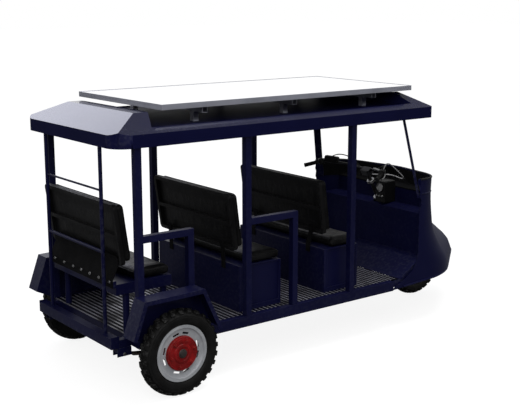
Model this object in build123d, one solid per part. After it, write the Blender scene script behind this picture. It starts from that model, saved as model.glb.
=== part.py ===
from build123d import *
import os
from math import acos, atan2, cos, radians, sin, sqrt

# Electric rickshaw with three benches under a moulded roof and a solar panel.
# +X points forward, +Y to the left, +Z up. The origin is on the ground below the middle of the vehicle.
# All values are in millimetres.
os.makedirs("parts", exist_ok=True)

# Running gear
WHEELBASE = 2810.0
REAR_OVERHANG = 390.0
FRONT_OVERHANG = 338.5
OVERALL_LENGTH = REAR_OVERHANG + WHEELBASE + FRONT_OVERHANG
REAR_AXLE_X = REAR_OVERHANG - OVERALL_LENGTH / 2
FRONT_AXLE_X = REAR_AXLE_X + WHEELBASE
TYRE_RADIUS = 285.0
REAR_TYRE_WIDTH = 106.0
FRONT_TYRE_WIDTH = 96.0
RAIL_CENTRE_Y = 583.0
WHEEL_CENTRE_Y = RAIL_CENTRE_Y + 95.0
RIM_RADIUS = 186.0
RIM_WIDTH = 78.0
BEAD_RADIUS = 170.0
TYRE_FOOT_RADIUS = 199.0
SHOULDER_RADIUS = 270.0
TYRE_FOOT_DEPTH = 9.0
TREAD_DROP = 12.0
RIM_SHELL = 4.0
DISC_RADIUS = 158.0
SLOT_PAIRS = 4
SLOT_PAIR_SPREAD = 32.0
SLOT_RING_RADIUS = 129.0
SLOT_LENGTH = 46.0
SLOT_WIDTH = 13.0
SLOT_CUT = 24.0
HUB_RADIUS = 114.0
HUB_HOLE_RADIUS = HUB_RADIUS - 30.0
HUB_FLANGE_THICKNESS = 9.0
HUB_CAP_RADIUS = 27.0
HUB_CAP_LENGTH = 14.0
DRUM_RADIUS = 92.0
SHAFT_RADIUS = 17.0
SHAFT_LENGTH = 60.0
RUNNING_CLEARANCE = 0.06
FIT_GAP = 0.3

# Square-tube chassis
TUBE = 45.0
TUBE_WALL = 2.5
RAIL_TOP = TYRE_RADIUS + 99.0
RAIL_DEPTH = 74.0
REAR_RAIL_DEPTH = 54.0
RAIL_REAR = -245.0
RAIL_STEP = 330.0
RAIL_FRONT = WHEELBASE - 840.0
SPRING_RAIL_Y = RAIL_CENTRE_Y - 108.0
SPRING_RAIL_WIDTH = 50.0
SPRING_RAIL_FRONT = 440.0
CROSS_DEPTH = 50.0
FLOOR_THICKNESS = 4.0
FLOOR_FRONT = WHEELBASE - 755.0
REAR_BEAM_HALF = 500.0
REAR_BEAM_WIDTH = 60.0
REAR_BEAM_BOTTOM = RAIL_TOP - REAR_RAIL_DEPTH
REAR_BEAM_TOP = RAIL_TOP + 16.0
BEAM_PLATE = 6.0
BEAM_PLATE_MARGIN = 9.0

# Upright frame and roof
PILLAR_X = (-220.0, 610.0, 1543.0)
ROOF_FRAME_TUBE = 30.0
ROOF_EDGE_BOTTOM = 1600.0
ROOF_EDGE_TOP = ROOF_EDGE_BOTTOM + 81.5
ROOF_HALF_WIDTH = RAIL_CENTRE_Y + 40.0
ROOF_REAR = -384.0
ROOF_FRONT = WHEELBASE - 502.0
ROOF_CORNER_RADIUS = 120.0
ROOF_FRONT_CORNER_RADIUS = 16.0
ROOF_CREST_Z = ROOF_EDGE_TOP + 106.5
ROOF_CREST_HALF_WIDTH = 430.0
ROOF_CREST_REAR = -145.0
ROOF_CREST_FRONT = WHEELBASE - 680.0
ROOF_DECK_Z = ROOF_EDGE_TOP + 18.5
TRAY_HALF_WIDTH = ROOF_HALF_WIDTH - 53.0
TRAY_REAR = -40.0
TRAY_FRONT = WHEELBASE - 730.0
TRAY_SKEW = 60.0
ROOF_WALL = 5.0
ROOF_SILL = 50.0
PANEL_LENGTH = WHEELBASE - 639.0
PANEL_HALF_WIDTH = 538.0
PANEL_REAR = -6.0
PANEL_THICKNESS = 36.0
PANEL_CLEARANCE = 16.0
PANEL_TOP = ROOF_CREST_Z + PANEL_CLEARANCE + PANEL_THICKNESS

# Seats
SEAT_BOX_HALF_WIDTH = RAIL_CENTRE_Y - 74.0
SEAT_WALL = 3.0
CUSHION_TOP = 778.0
BACKREST_TILT = 7.8
BACKREST_HALF_WIDTH = 470.0
BACKREST_LENGTH = 400.0
BACKREST_SHELL_DEPTH = 28.0
BACKREST_PAD_DEPTH = 66.0
PAD_GAP = 0.3

# Cowl
COWL_HALF_WIDTH = RAIL_CENTRE_Y + 17.0
COWL_WALL = 4.0
COWL_SIDE_REAR = WHEELBASE - 580.0
COWL_FOOT_REAR = WHEELBASE - 835.0
COWL_RIM_REAR_Z = 1138.0
COWL_RIM_FALL = 60.0
DASH_Z = 990.0

# Steering
STEERING_RAKE = 30.0
STEERING_AXIS_TRAIL = 90.0
HEAD_TUBE_RADIUS = 27.0
STEM_RADIUS = 16.0


def behind_to_x(distance):
    # Lengthwise places are given as distances ahead of the rear axle.
    return REAR_AXLE_X + distance


def ahead_to_x(distance):
    # Places at the front end are given as distances ahead of the front axle.
    return FRONT_AXLE_X + distance


def block(x0, x1, y0, y1, z0, z1):
    centre = Pos((x0 + x1) / 2, (y0 + y1) / 2, (z0 + z1) / 2)
    return centre * Box(x1 - x0, y1 - y0, z1 - z0)


def hollow_block(x0, x1, y0, y1, z0, z1, wall, open_axis):
    # A box-section tube, open at both ends along one axis.
    reach = {"x": (1.0, -wall, -wall), "y": (-wall, 1.0, -wall), "z": (-wall, -wall, 1.0)}[open_axis]
    inner = block(x0 - reach[0], x1 + reach[0], y0 - reach[1], y1 + reach[1], z0 - reach[2], z1 + reach[2])
    return block(x0, x1, y0, y1, z0, z1) - inner


def rod(start, end, radius):
    start, end = Vector(*start), Vector(*end)
    plane = Plane(origin=start, z_dir=end - start)
    return extrude(plane * Circle(radius), (end - start).length)


def cross_rod(x, z, y0, y1, radius):
    return rod((x, y0, z), (x, y1, z), radius)


def side_profile(points, y0, y1):
    # A closed outline in side view, given as (x, z) points, extruded across the vehicle.
    plane = Plane(origin=(0, y1, 0), x_dir=(1, 0, 0), z_dir=(0, -1, 0))
    face = make_face(Polyline(*[(x, z) for x, z in points], close=True))
    return extrude(plane * face, y1 - y0)


def other_side(shape):
    return mirror(shape, about=Plane.XZ)


def write(name, solids):
    solids = solids if isinstance(solids, (list, tuple)) else [solids]
    singles = [solid for shape in solids for solid in shape.solids()]
    export_step(singles[0] if len(singles) == 1 else Compound(singles), f"parts/{name}.step")


# Chassis rails: deep ahead of the rear wheels, shallower above the axle
def chassis_rails():
    x0, step, x1 = behind_to_x(RAIL_REAR), behind_to_x(RAIL_STEP), behind_to_x(RAIL_FRONT)
    y0, y1 = RAIL_CENTRE_Y - TUBE / 2, RAIL_CENTRE_Y + TUBE / 2
    rail = block(x0, x1, y0, y1, RAIL_TOP - RAIL_DEPTH, RAIL_TOP)
    rail -= block(x0 - 1, step, y0 - 1, y1 + 1, RAIL_TOP - RAIL_DEPTH - 1, RAIL_TOP - REAR_RAIL_DEPTH)
    inner_x0 = behind_to_x(-REAR_OVERHANG + REAR_BEAM_WIDTH)
    inner = hollow_block(inner_x0, behind_to_x(SPRING_RAIL_FRONT), SPRING_RAIL_Y - SPRING_RAIL_WIDTH / 2,
                         SPRING_RAIL_Y + SPRING_RAIL_WIDTH / 2, RAIL_TOP - REAR_RAIL_DEPTH,
                         RAIL_TOP - FLOOR_THICKNESS, TUBE_WALL, "x")
    return [rail, other_side(rail), inner, other_side(inner)]


# Cross members: short outriggers beside the spring rails, full width ahead of them
def cross_members():
    z0, z1 = RAIL_TOP - FLOOR_THICKNESS - CROSS_DEPTH, RAIL_TOP - FLOOR_THICKNESS
    rail_in = RAIL_CENTRE_Y - TUBE / 2
    spring_out = SPRING_RAIL_Y + SPRING_RAIL_WIDTH / 2
    spring_in = SPRING_RAIL_Y - SPRING_RAIL_WIDTH / 2
    members = []
    for place in (PILLAR_X[0], RAIL_STEP - TUBE / 2):
        x0, x1 = behind_to_x(place - TUBE / 2), behind_to_x(place + TUBE / 2)
        for y0, y1 in ((-rail_in, -spring_out), (-spring_in, spring_in), (spring_out, rail_in)):
            members.append(hollow_block(x0, x1, y0, y1, z0, z1, TUBE_WALL, "y"))
    front_members = (SPRING_RAIL_FRONT + TUBE / 2, PILLAR_X[1] + 380.0, PILLAR_X[2], RAIL_FRONT - TUBE / 2)
    for place in front_members:
        x0, x1 = behind_to_x(place - TUBE / 2), behind_to_x(place + TUBE / 2)
        members.append(hollow_block(x0, x1, -rail_in, rail_in, z0, z1, TUBE_WALL, "y"))
    return members


# Rear beam: a closed box across the back on the ends of the spring rails, with a plate on each end
def rear_beam():
    x0, x1 = behind_to_x(-REAR_OVERHANG), behind_to_x(-REAR_OVERHANG) + REAR_BEAM_WIDTH
    beam = block(x0, x1, -REAR_BEAM_HALF, REAR_BEAM_HALF, REAR_BEAM_BOTTOM, REAR_BEAM_TOP)
    for side in (-1, 1):
        y0, y1 = sorted((side * REAR_BEAM_HALF, side * (REAR_BEAM_HALF + BEAM_PLATE)))
        beam += block(x0, x1, y0, y1, REAR_BEAM_BOTTOM, REAR_BEAM_TOP + BEAM_PLATE_MARGIN)
    return beam


# Floor plate between the rails, laid on the cross members
def floor_plate():
    half = RAIL_CENTRE_Y - TUBE / 2 - FIT_GAP
    x0, x1 = behind_to_x(RAIL_REAR), behind_to_x(FLOOR_FRONT)
    return block(x0, x1, -half, half, RAIL_TOP - FLOOR_THICKNESS, RAIL_TOP)


PILLAR_TOP = ROOF_DECK_Z - ROOF_WALL - 2 * ROOF_FRAME_TUBE


def pillars():
    posts = []
    for place in PILLAR_X:
        x = behind_to_x(place)
        post = hollow_block(x - TUBE / 2, x + TUBE / 2, RAIL_CENTRE_Y - TUBE / 2, RAIL_CENTRE_Y + TUBE / 2,
                            RAIL_TOP, PILLAR_TOP, TUBE_WALL, "z")
        posts += [post, other_side(post)]
    return posts


GUARD_TOP = (1050.0, 1052.0)
GUARD_FRONT = (175.0, 1032.0)


# Side guards: from a pillar forward and down to the rail, mitred at the corner
def side_guards():
    guards = []
    for pillar, top, front in zip(PILLAR_X[:2], GUARD_TOP, GUARD_FRONT):
        x0, x1 = behind_to_x(pillar + TUBE / 2), behind_to_x(front)
        outline = [(x0, top), (x1, top), (x1, RAIL_TOP), (x1 - TUBE, RAIL_TOP), (x1 - TUBE, top - TUBE), (x0, top - TUBE)]
        wall = TUBE_WALL
        bore = [(x0 - 1, top - wall), (x1 - wall, top - wall), (x1 - wall, RAIL_TOP - 1),
                (x1 - TUBE + wall, RAIL_TOP - 1), (x1 - TUBE + wall, top - TUBE + wall), (x0 - 1, top - TUBE + wall)]
        y0, y1 = RAIL_CENTRE_Y - TUBE / 2, RAIL_CENTRE_Y + TUBE / 2
        guard = side_profile(outline, y0, y1) - side_profile(bore, y0 + wall, y1 - wall)
        guards += [guard, other_side(guard)]
    return guards


REAR_GUARD_X = -352.0
REAR_GUARD_Y = 370.0
REAR_GUARD_RADIUS = 12.5
REAR_GUARD_BAR_RADIUS = 14.0
REAR_GUARD_ROD_RADIUS = 7.0
REAR_GUARD_BAR_Z = 930.0
REAR_GUARD_ROD_Z = 1320.0


# Guard at the back: two round uprights with a bar and a thin rod between them
def rear_guard():
    x = behind_to_x(REAR_GUARD_X)
    frame = cross_rod(x, REAR_GUARD_BAR_Z, -REAR_GUARD_Y, REAR_GUARD_Y, REAR_GUARD_BAR_RADIUS * 0.8)
    frame += cross_rod(x, REAR_GUARD_ROD_Z, -REAR_GUARD_Y, REAR_GUARD_Y, REAR_GUARD_ROD_RADIUS)
    for side in (-1, 1):
        y = side * REAR_GUARD_Y
        frame += rod((x, y, REAR_BEAM_TOP), (x, y, ROOF_EDGE_BOTTOM), REAR_GUARD_RADIUS)
    return frame


ROOF_RAIL_REAR = -300.0
ROOF_RAIL_FRONT = WHEELBASE - 705.0
BOW_X = (PILLAR_X[0], 200.0, PILLAR_X[1], 1080.0, PILLAR_X[2], ROOF_RAIL_FRONT - 205.0)


# Roof frame: a tube along each side, an end tube at each end, and bows across
def roof_rails():
    y0, y1 = RAIL_CENTRE_Y - TUBE / 2, RAIL_CENTRE_Y + TUBE / 2
    rail = hollow_block(behind_to_x(ROOF_RAIL_REAR), behind_to_x(ROOF_RAIL_FRONT), y0, y1, PILLAR_TOP,
                        PILLAR_TOP + ROOF_FRAME_TUBE, TUBE_WALL, "x")
    return [rail, other_side(rail)]


def roof_bows():
    bows = []
    top = PILLAR_TOP + ROOF_FRAME_TUBE
    half = RAIL_CENTRE_Y
    for place in BOW_X:
        x = behind_to_x(place)
        bows.append(hollow_block(x - ROOF_FRAME_TUBE / 2, x + ROOF_FRAME_TUBE / 2, -half, half, top,
                                 top + ROOF_FRAME_TUBE, TUBE_WALL, "y"))
    ends = ((behind_to_x(ROOF_RAIL_REAR) - ROOF_FRAME_TUBE, half), (behind_to_x(ROOF_RAIL_FRONT), half + TUBE / 2))
    for x0, out in ends:
        bows.append(hollow_block(x0, x0 + ROOF_FRAME_TUBE, -out, out, PILLAR_TOP, top, TUBE_WALL, "y"))
    return bows


# The roof's outer form, or its inner face when drawn in by the wall
def roof_form(inset, bottom):
    x0, x1 = behind_to_x(ROOF_REAR) + inset, behind_to_x(ROOF_FRONT) - inset
    half = ROOF_HALF_WIDTH - inset
    centre = Pos((x0 + x1) / 2, 0, bottom)
    edge = extrude(centre * Rectangle(x1 - x0, 2 * half), ROOF_EDGE_TOP - bottom)
    uprights = edge.edges().filter_by(Axis.Z).sort_by(Axis.X)
    edge = fillet(uprights[:2], ROOF_CORNER_RADIUS - inset)
    uprights = edge.edges().filter_by(Axis.Z).sort_by(Axis.X)
    edge = fillet(uprights[-2:], max(ROOF_FRONT_CORNER_RADIUS - inset, 2.0))
    crest_x0, crest_x1 = behind_to_x(ROOF_CREST_REAR) + inset, behind_to_x(ROOF_CREST_FRONT) - inset
    crest_half = ROOF_CREST_HALF_WIDTH - inset
    foot = edge.faces().sort_by(Axis.Z)[-1]
    crest_plane = Plane.XY.offset(ROOF_CREST_Z - inset)
    crest = Rectangle(crest_x1 - crest_x0, 2 * crest_half)
    crest = crest_plane * Pos((crest_x0 + crest_x1) / 2, 0) * crest
    hip_foot = Plane.XY.offset(ROOF_EDGE_TOP) * Pos((x0 + x1) / 2, 0) * Rectangle(x1 - x0, 2 * half)
    hip = loft([hip_foot.faces()[0], crest.faces()[0]], ruled=True)
    hip &= extrude(foot, ROOF_CREST_Z - ROOF_EDGE_TOP + 10)
    body = edge + hip
    tray_half = TRAY_HALF_WIDTH + inset
    rear, front = behind_to_x(TRAY_REAR) - inset, behind_to_x(TRAY_FRONT) + inset
    outline = [(rear, -ROOF_CREST_HALF_WIDTH), (rear, ROOF_CREST_HALF_WIDTH), (rear - TRAY_SKEW, tray_half),
               (front + TRAY_SKEW, tray_half), (front, ROOF_CREST_HALF_WIDTH), (front, -ROOF_CREST_HALF_WIDTH),
               (front + TRAY_SKEW, -tray_half), (rear - TRAY_SKEW, -tray_half)]
    tray = extrude(Plane.XY.offset(ROOF_DECK_Z - inset) * make_face(Polyline(*outline, close=True)), 200)
    return body - tray


# Roof shell: one moulding, open below, with a sill under its rear edge for the guard
def roof_shell():
    shell = roof_form(0.0, ROOF_EDGE_BOTTOM) - roof_form(ROOF_WALL, ROOF_EDGE_BOTTOM - 1)
    x0 = behind_to_x(ROOF_REAR) + ROOF_WALL - 1
    half = ROOF_HALF_WIDTH - ROOF_CORNER_RADIUS
    shell += block(x0, x0 + ROOF_SILL, -half, half, ROOF_EDGE_BOTTOM, ROOF_EDGE_BOTTOM + ROOF_WALL)
    return shell


def solar_panel():
    x0 = behind_to_x(PANEL_REAR)
    return block(x0, x0 + PANEL_LENGTH, -PANEL_HALF_WIDTH, PANEL_HALF_WIDTH, PANEL_TOP - PANEL_THICKNESS, PANEL_TOP)


PANEL_BAR_X = (340.0, 1080.0, TRAY_FRONT - 260.0)
PANEL_BAR = 40.0
PANEL_BAR_HALF = 500.0
PANEL_FOOT_Y = 380.0


# Panel bars: a cross bar on two feet, standing on the roof's tray
def panel_bars():
    bars = []
    top = PANEL_TOP - PANEL_THICKNESS
    for place in PANEL_BAR_X:
        x = behind_to_x(place)
        bar = hollow_block(x - PANEL_BAR / 2, x + PANEL_BAR / 2, -PANEL_BAR_HALF, PANEL_BAR_HALF, top - PANEL_BAR,
                           top, TUBE_WALL, "y")
        for side in (-1, 1):
            y = side * PANEL_FOOT_Y
            bar += block(x - PANEL_BAR / 2, x + PANEL_BAR / 2, y - PANEL_BAR / 2, y + PANEL_BAR / 2, ROOF_DECK_Z,
                         top - PANEL_BAR)
        bars.append(bar)
    return bars


FENDER_TOP = TYRE_RADIUS + 390.0
FENDER_OUTLINE = ((-360.0, RAIL_TOP + 56.0), (-275.0, FENDER_TOP), (170.0, FENDER_TOP + 5.0), (300.0, RAIL_TOP + 16.0))
FENDER_WALL_REAR = 118.0
FENDER_OUT = WHEEL_CENTRE_Y + 57.0
FENDER_SHEET = 3.0
FENDER_LIP = 27.0


def drawn_in(points, depth):
    # An open line of (x, z) points moved inwards by a depth, with its corners kept sharp.
    moved = []
    for place, (x, z) in enumerate(points):
        before = points[max(place - 1, 0)]
        after = points[min(place + 1, len(points) - 1)]
        first = (x - before[0], z - before[1]) if place else (after[0] - x, after[1] - z)
        second = (after[0] - x, after[1] - z) if place < len(points) - 1 else first
        angles = [atan2(first[1], first[0]), atan2(second[1], second[0])]
        bend = (angles[0] + angles[1]) / 2
        reach = depth / cos((angles[1] - angles[0]) / 2)
        moved.append((x + reach * sin(bend), z - reach * cos(bend)))
    return moved


# Fender: a bent band over the wheel, its outer edge turned down, and the wheel tub's inner wall
def fender():
    line = [(behind_to_x(x), z) for x, z in FENDER_OUTLINE]
    sheet = drawn_in(line, FENDER_SHEET)
    lip = drawn_in(line, FENDER_LIP)
    inner = RAIL_CENTRE_Y + TUBE / 2 + FIT_GAP
    band = side_profile(line + sheet[::-1], inner, FENDER_OUT)
    band += side_profile(line + lip[::-1], FENDER_OUT - FENDER_SHEET, FENDER_OUT)
    wall_foot = RAIL_TOP
    wall = [line[0], line[1], line[2], line[3], (line[3][0], wall_foot), (line[0][0] + FENDER_WALL_REAR, wall_foot)]
    return band + side_profile(wall, inner, inner + FENDER_SHEET)


BENCH_REAR, BENCH_FRONT = -300.0, 112.0
BENCH_HALF = SPRING_RAIL_Y - 45.0
BENCH_TOP = 720.0
BENCH_APRON = 72.0
BENCH_LEG_RADIUS = 22.0
BENCH_LEG_Y = 400.0
BENCH_LEG_X = (-215.0, 62.0)
BACK_RAIL_DROP = 20.0


# Rear bench: a tray turned upside down on four round legs, with a rail along its back
def rear_bench():
    x0, x1 = behind_to_x(BENCH_REAR), behind_to_x(BENCH_FRONT)
    tray = block(x0, x1, -BENCH_HALF, BENCH_HALF, BENCH_TOP - BENCH_APRON, BENCH_TOP)
    tray -= block(x0 + SEAT_WALL, x1 - SEAT_WALL, -BENCH_HALF + SEAT_WALL, BENCH_HALF - SEAT_WALL,
                  BENCH_TOP - BENCH_APRON - 1, BENCH_TOP - SEAT_WALL)
    rail_foot = BENCH_TOP - BACK_RAIL_DROP
    tray += block(x0 - BACK_RAIL_DROP, x0 + SEAT_WALL, -BENCH_HALF, BENCH_HALF, rail_foot, rail_foot + TUBE)
    for place in BENCH_LEG_X:
        for side in (-1, 1):
            x, y = behind_to_x(place), side * BENCH_LEG_Y
            tray += rod((x, y, RAIL_TOP), (x, y, BENCH_TOP - 1), BENCH_LEG_RADIUS)
    return tray


SEAT_BOXES = {
    "middle": (600.0, 958.0),
    "front": (1357.0, 1680.0),
}
SEAT_BOX_TOP = 706.0
SIDE_INSET_DEPTH = 8.0
SIDE_INSET_MARGIN = 36.0
SIDE_INSET_FRONT = 20.0


# Seat boxes: closed sheet boxes with a pressed-in panel on each side
def seat_boxes():
    boxes = []
    for rear, front in SEAT_BOXES.values():
        x0, x1 = behind_to_x(rear), behind_to_x(front)
        half = SEAT_BOX_HALF_WIDTH
        box = block(x0, x1, -half, half, RAIL_TOP, SEAT_BOX_TOP)
        box -= block(x0 + SEAT_WALL, x1 - SEAT_WALL, -half + SEAT_WALL + SIDE_INSET_DEPTH,
                     half - SEAT_WALL - SIDE_INSET_DEPTH, RAIL_TOP - 1, SEAT_BOX_TOP - SEAT_WALL)
        for side in (-1, 1):
            y0, y1 = sorted((side * (half - SIDE_INSET_DEPTH), side * (half + 1)))
            box -= block(x0 + SIDE_INSET_MARGIN, x1 - SIDE_INSET_FRONT, y0, y1, RAIL_TOP + SIDE_INSET_MARGIN,
                         SEAT_BOX_TOP - SIDE_INSET_DEPTH)
        boxes.append(box)
    return boxes


BATTERY_LENGTH = 300.0
BATTERY_WIDTH = 520.0
BATTERY_HEIGHT = 220.0


def battery_pack():
    rear, front = SEAT_BOXES["middle"]
    x = behind_to_x((rear + front) / 2)
    return Pos(x, 0, RAIL_TOP + BATTERY_HEIGHT / 2) * Box(BATTERY_LENGTH, BATTERY_WIDTH, BATTERY_HEIGHT)


CUSHION_ROUND = 22.0


def cushion(x0, x1, half, z0, z1):
    pad = block(x0, x1, -half, half, z0, z1)
    return fillet(pad.edges().group_by(Axis.Z)[-1], CUSHION_ROUND)


# Backrests: pressed shell at the rear with a pad on its front, leaning back
BACKRESTS = {
    "rear": (-330.0, 1237.0),
    "middle": (540.0, 1200.0),
    "front": (1330.0, 1200.0),
}


def leaned(place, top, shape):
    # The shape is drawn upright with its rear top edge at the origin.
    return Pos(behind_to_x(place), 0, top) * Rot(0, -BACKREST_TILT, 0) * shape


def backrest_shell(place, top):
    half, depth, length = BACKREST_HALF_WIDTH, BACKREST_SHELL_DEPTH, BACKREST_LENGTH
    shell = block(0, depth, -half, half, -length, 0)
    shell = fillet(shell.edges().filter_by(Axis.X), 30.0)
    rim, web = 26.0, 4.0
    for z0, z1 in ((-length * 0.5, -rim), (-length + rim, -length * 0.5 - rim)):
        shell -= block(-1, depth - web, -half + rim, half - rim, z0, z1)
    return leaned(place, top, shell)


def backrest_pad(place, top):
    half, length = BACKREST_HALF_WIDTH - 6.0, BACKREST_LENGTH - 6.0
    depth = BACKREST_SHELL_DEPTH + PAD_GAP
    pad = block(depth, depth + BACKREST_PAD_DEPTH, -half, half, -length, -6.0)
    pad = fillet(pad.edges().group_by(Axis.X)[-1], CUSHION_ROUND)
    return leaned(place, top, pad)


STRIP_WIDTH = 45.0
STRIP_THICKNESS = 6.0
STRIP_Y = 330.0
STRIP_STAND = 4.0
STRIP_LAP = 60.0


# Backrest strips: bent plates from each seat's rear edge up to the back of its shell. The rear bench has
# one as wide as itself, the other two have a narrow one near each end.
def backrest_strips():
    strips = []
    seats = {name: (rear, SEAT_BOX_TOP) for name, (rear, front) in SEAT_BOXES.items()}
    seats["rear"] = (BENCH_REAR - BACK_RAIL_DROP, BENCH_TOP - BACK_RAIL_DROP + TUBE)
    for name, (place, top) in BACKRESTS.items():
        foot_x, foot_top = seats[name]
        lean = radians(BACKREST_TILT)
        x = behind_to_x(foot_x) - FIT_GAP
        face = [(x, foot_top - TUBE), (x, foot_top + STRIP_STAND)]
        for up in (BACKREST_LENGTH, BACKREST_LENGTH - STRIP_LAP):
            face.append((behind_to_x(place) + up * sin(lean) - FIT_GAP, top - up * cos(lean)))
        outline = face + [(x - STRIP_THICKNESS, z) for x, z in reversed(face)]
        if name == "rear":
            strips.append(side_profile(outline, -BENCH_HALF, BENCH_HALF))
            continue
        for y in (-STRIP_Y, STRIP_Y):
            strips.append(side_profile(outline, y - STRIP_WIDTH / 2, y + STRIP_WIDTH / 2))
    return strips


# Cowl sections: height, end of the straight side, corner radius, nose and nose radius.
# The two lengthwise places are ahead of the front axle.
COWL_SECTIONS = (
    (1160.0, -577.0, 300.0, -238.0, 560.0),
    (990.0, -582.0, 300.0, -205.0, 420.0),
    (900.0, -575.0, 301.0, -167.0, 340.0),
    (800.0, -567.0, 312.0, -98.0, 280.0),
    (708.0, -556.0, 335.0, 2.0, 240.0),
    (630.0, -534.0, 375.0, 108.0, 228.0),
    (563.0, -508.0, 420.0, 196.0, 225.0),
    (500.0, -474.0, 462.0, 272.0, 232.0),
    (430.0, -444.0, 492.0, 322.0, 240.0),
    (370.0, -434.0, 500.0, FRONT_OVERHANG, 244.0),
    (280.0, -434.0, 500.0, FRONT_OVERHANG, 244.0),
)


def cowl_outline(section, inset, rear):
    z, side_end, corner, nose, nose_radius = section
    corner, nose_radius, nose = corner - inset, nose_radius - inset, ahead_to_x(nose) - inset
    half = COWL_HALF_WIDTH - inset
    centre = (ahead_to_x(side_end), half - corner)
    nose_centre = (nose - nose_radius, 0.0)
    dx, dy = centre[0] - nose_centre[0], centre[1] - nose_centre[1]
    turn = atan2(dy, dx) - acos((nose_radius - corner) / sqrt(dx * dx + dy * dy))
    along, out = cos(turn), sin(turn)
    corner_end = (centre[0] + corner * along, centre[1] + corner * out)
    nose_start = (nose_centre[0] + nose_radius * along, nose_centre[1] + nose_radius * out)
    middle = (turn + radians(90)) / 2
    corner_middle = (centre[0] + corner * cos(middle), centre[1] + corner * sin(middle))

    def left(point):
        return (point[0], point[1], z)

    def right(point):
        return (point[0], -point[1], z)

    side = (centre[0], half)
    lines = [
        Line(left((rear, half)), left(side)),
        ThreePointArc(left(side), left(corner_middle), left(corner_end)),
        Line(left(corner_end), left(nose_start)),
        ThreePointArc(left(nose_start), (nose, 0, z), right(nose_start)),
        Line(right(nose_start), right(corner_end)),
        ThreePointArc(right(corner_end), right(corner_middle), right(side)),
        Line(right(side), right((rear, half))),
        Line(right((rear, half)), left((rear, half))),
    ]
    return Face(Wire(lines))


def cowl_form(inset, behind=20.0):
    # The cowl's outer form, or a face of it drawn in by an inset, reaching some way behind its foot.
    rear = behind_to_x(COWL_FOOT_REAR) - behind
    return loft([cowl_outline(section, inset, rear) for section in COWL_SECTIONS], ruled=True)


COWL_LIP_FRONT_Z = 382.0
COWL_LIP_REAR_Z = 312.0
COWL_FOOT_DEPTH = 40.0
COWL_SWEEP_HEIGHT = 250.0
COWL_CUT_REACH = 151.5
COWL_CUT_MARGIN = 50.0


def cowl_side_view(y_half):
    # What is left of the cowl in side view: rim, rear edge swept back to the rail, rising lower edge.
    rear, foot = behind_to_x(COWL_SIDE_REAR), behind_to_x(COWL_FOOT_REAR)
    front = ahead_to_x(FRONT_OVERHANG) + COWL_CUT_REACH
    rim_front = COWL_RIM_REAR_Z - COWL_RIM_FALL
    foot_top = COWL_LIP_REAR_Z + COWL_FOOT_DEPTH
    sweep_top = COWL_LIP_REAR_Z + COWL_SWEEP_HEIGHT
    sweep_middle = (rear - 62.0, COWL_LIP_REAR_Z + 110.0)
    lines = [
        Line((rear, COWL_RIM_REAR_Z), (front, rim_front)),
        Line((front, rim_front), (front, COWL_LIP_FRONT_Z)),
        Line((front, COWL_LIP_FRONT_Z), (foot, COWL_LIP_REAR_Z)),
        Line((foot, COWL_LIP_REAR_Z), (foot, foot_top)),
        ThreePointArc((foot, foot_top), sweep_middle, (rear, sweep_top)),
        Line((rear, sweep_top), (rear, COWL_RIM_REAR_Z)),
    ]
    plane = Plane(origin=(0, y_half, 0), x_dir=(1, 0, 0), z_dir=(0, -1, 0))
    return extrude(plane * make_face(lines), 2 * y_half)


def front_cowl():
    shell = cowl_form(0.0) - cowl_form(COWL_WALL, 40.0)
    return shell & cowl_side_view(COWL_HALF_WIDTH + COWL_CUT_MARGIN)


BULKHEAD_X = -510.0
SHELF_X = -390.0
BULKHEAD_LINE = ((FLOOR_FRONT - WHEELBASE, RAIL_TOP), (-565.0, 515.0), (BULKHEAD_X, 528.0), (BULKHEAD_X, 850.0),
                 (SHELF_X, 870.0), (SHELF_X, DASH_Z - 5.0))
BULKHEAD_SHEET = 3.0
COLUMN_HOLE_RADIUS = 42.0
COLUMN_HOLE_LOW, COLUMN_HOLE_HIGH = 560.0, 800.0


# Toe board and bulkhead: one bent sheet across the cowl, open round the steering column
def toe_board():
    line = [(ahead_to_x(x), z) for x, z in BULKHEAD_LINE]
    sheet = drawn_in(line, BULKHEAD_SHEET)
    half = COWL_HALF_WIDTH - COWL_WALL - FIT_GAP
    board = side_profile(line + sheet[::-1], -half, half)
    board -= rod(steering_point(COLUMN_HOLE_LOW), steering_point(COLUMN_HOLE_HIGH), COLUMN_HOLE_RADIUS)
    return board & cowl_form(COWL_WALL + FIT_GAP)


def steering_point(distance):
    # A point on the steering axis, measured up along it from the height of the wheel's centre.
    lean = radians(STEERING_RAKE)
    x = ahead_to_x(-STEERING_AXIS_TRAIL) - distance * sin(lean)
    return (x, 0.0, TYRE_RADIUS + distance * cos(lean))


SWITCH_BOX_WIDTH = 105.0
SWITCH_BOX_Y = -97.0
SWITCH_BOX_TOP = 1042.0
SWITCH_BOX_ROUND = 12.0


# Switch box: a rounded housing beside the steering column, standing on the bulkhead's ledge
def switch_box():
    x0, x1 = ahead_to_x(BULKHEAD_X) + FIT_GAP, ahead_to_x(SHELF_X) - FIT_GAP
    half = SWITCH_BOX_WIDTH / 2
    foot = BULKHEAD_LINE[4][1]
    box = block(x0, x1, SWITCH_BOX_Y - half, SWITCH_BOX_Y + half, foot, SWITCH_BOX_TOP)
    return fillet(box.edges().group_by(Axis.Z)[-1], SWITCH_BOX_ROUND)


LINER_SETBACK = 60.0
LINER_WALL = 3.0
LINER_TOP = COWL_RIM_REAR_Z - 30.0


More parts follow.
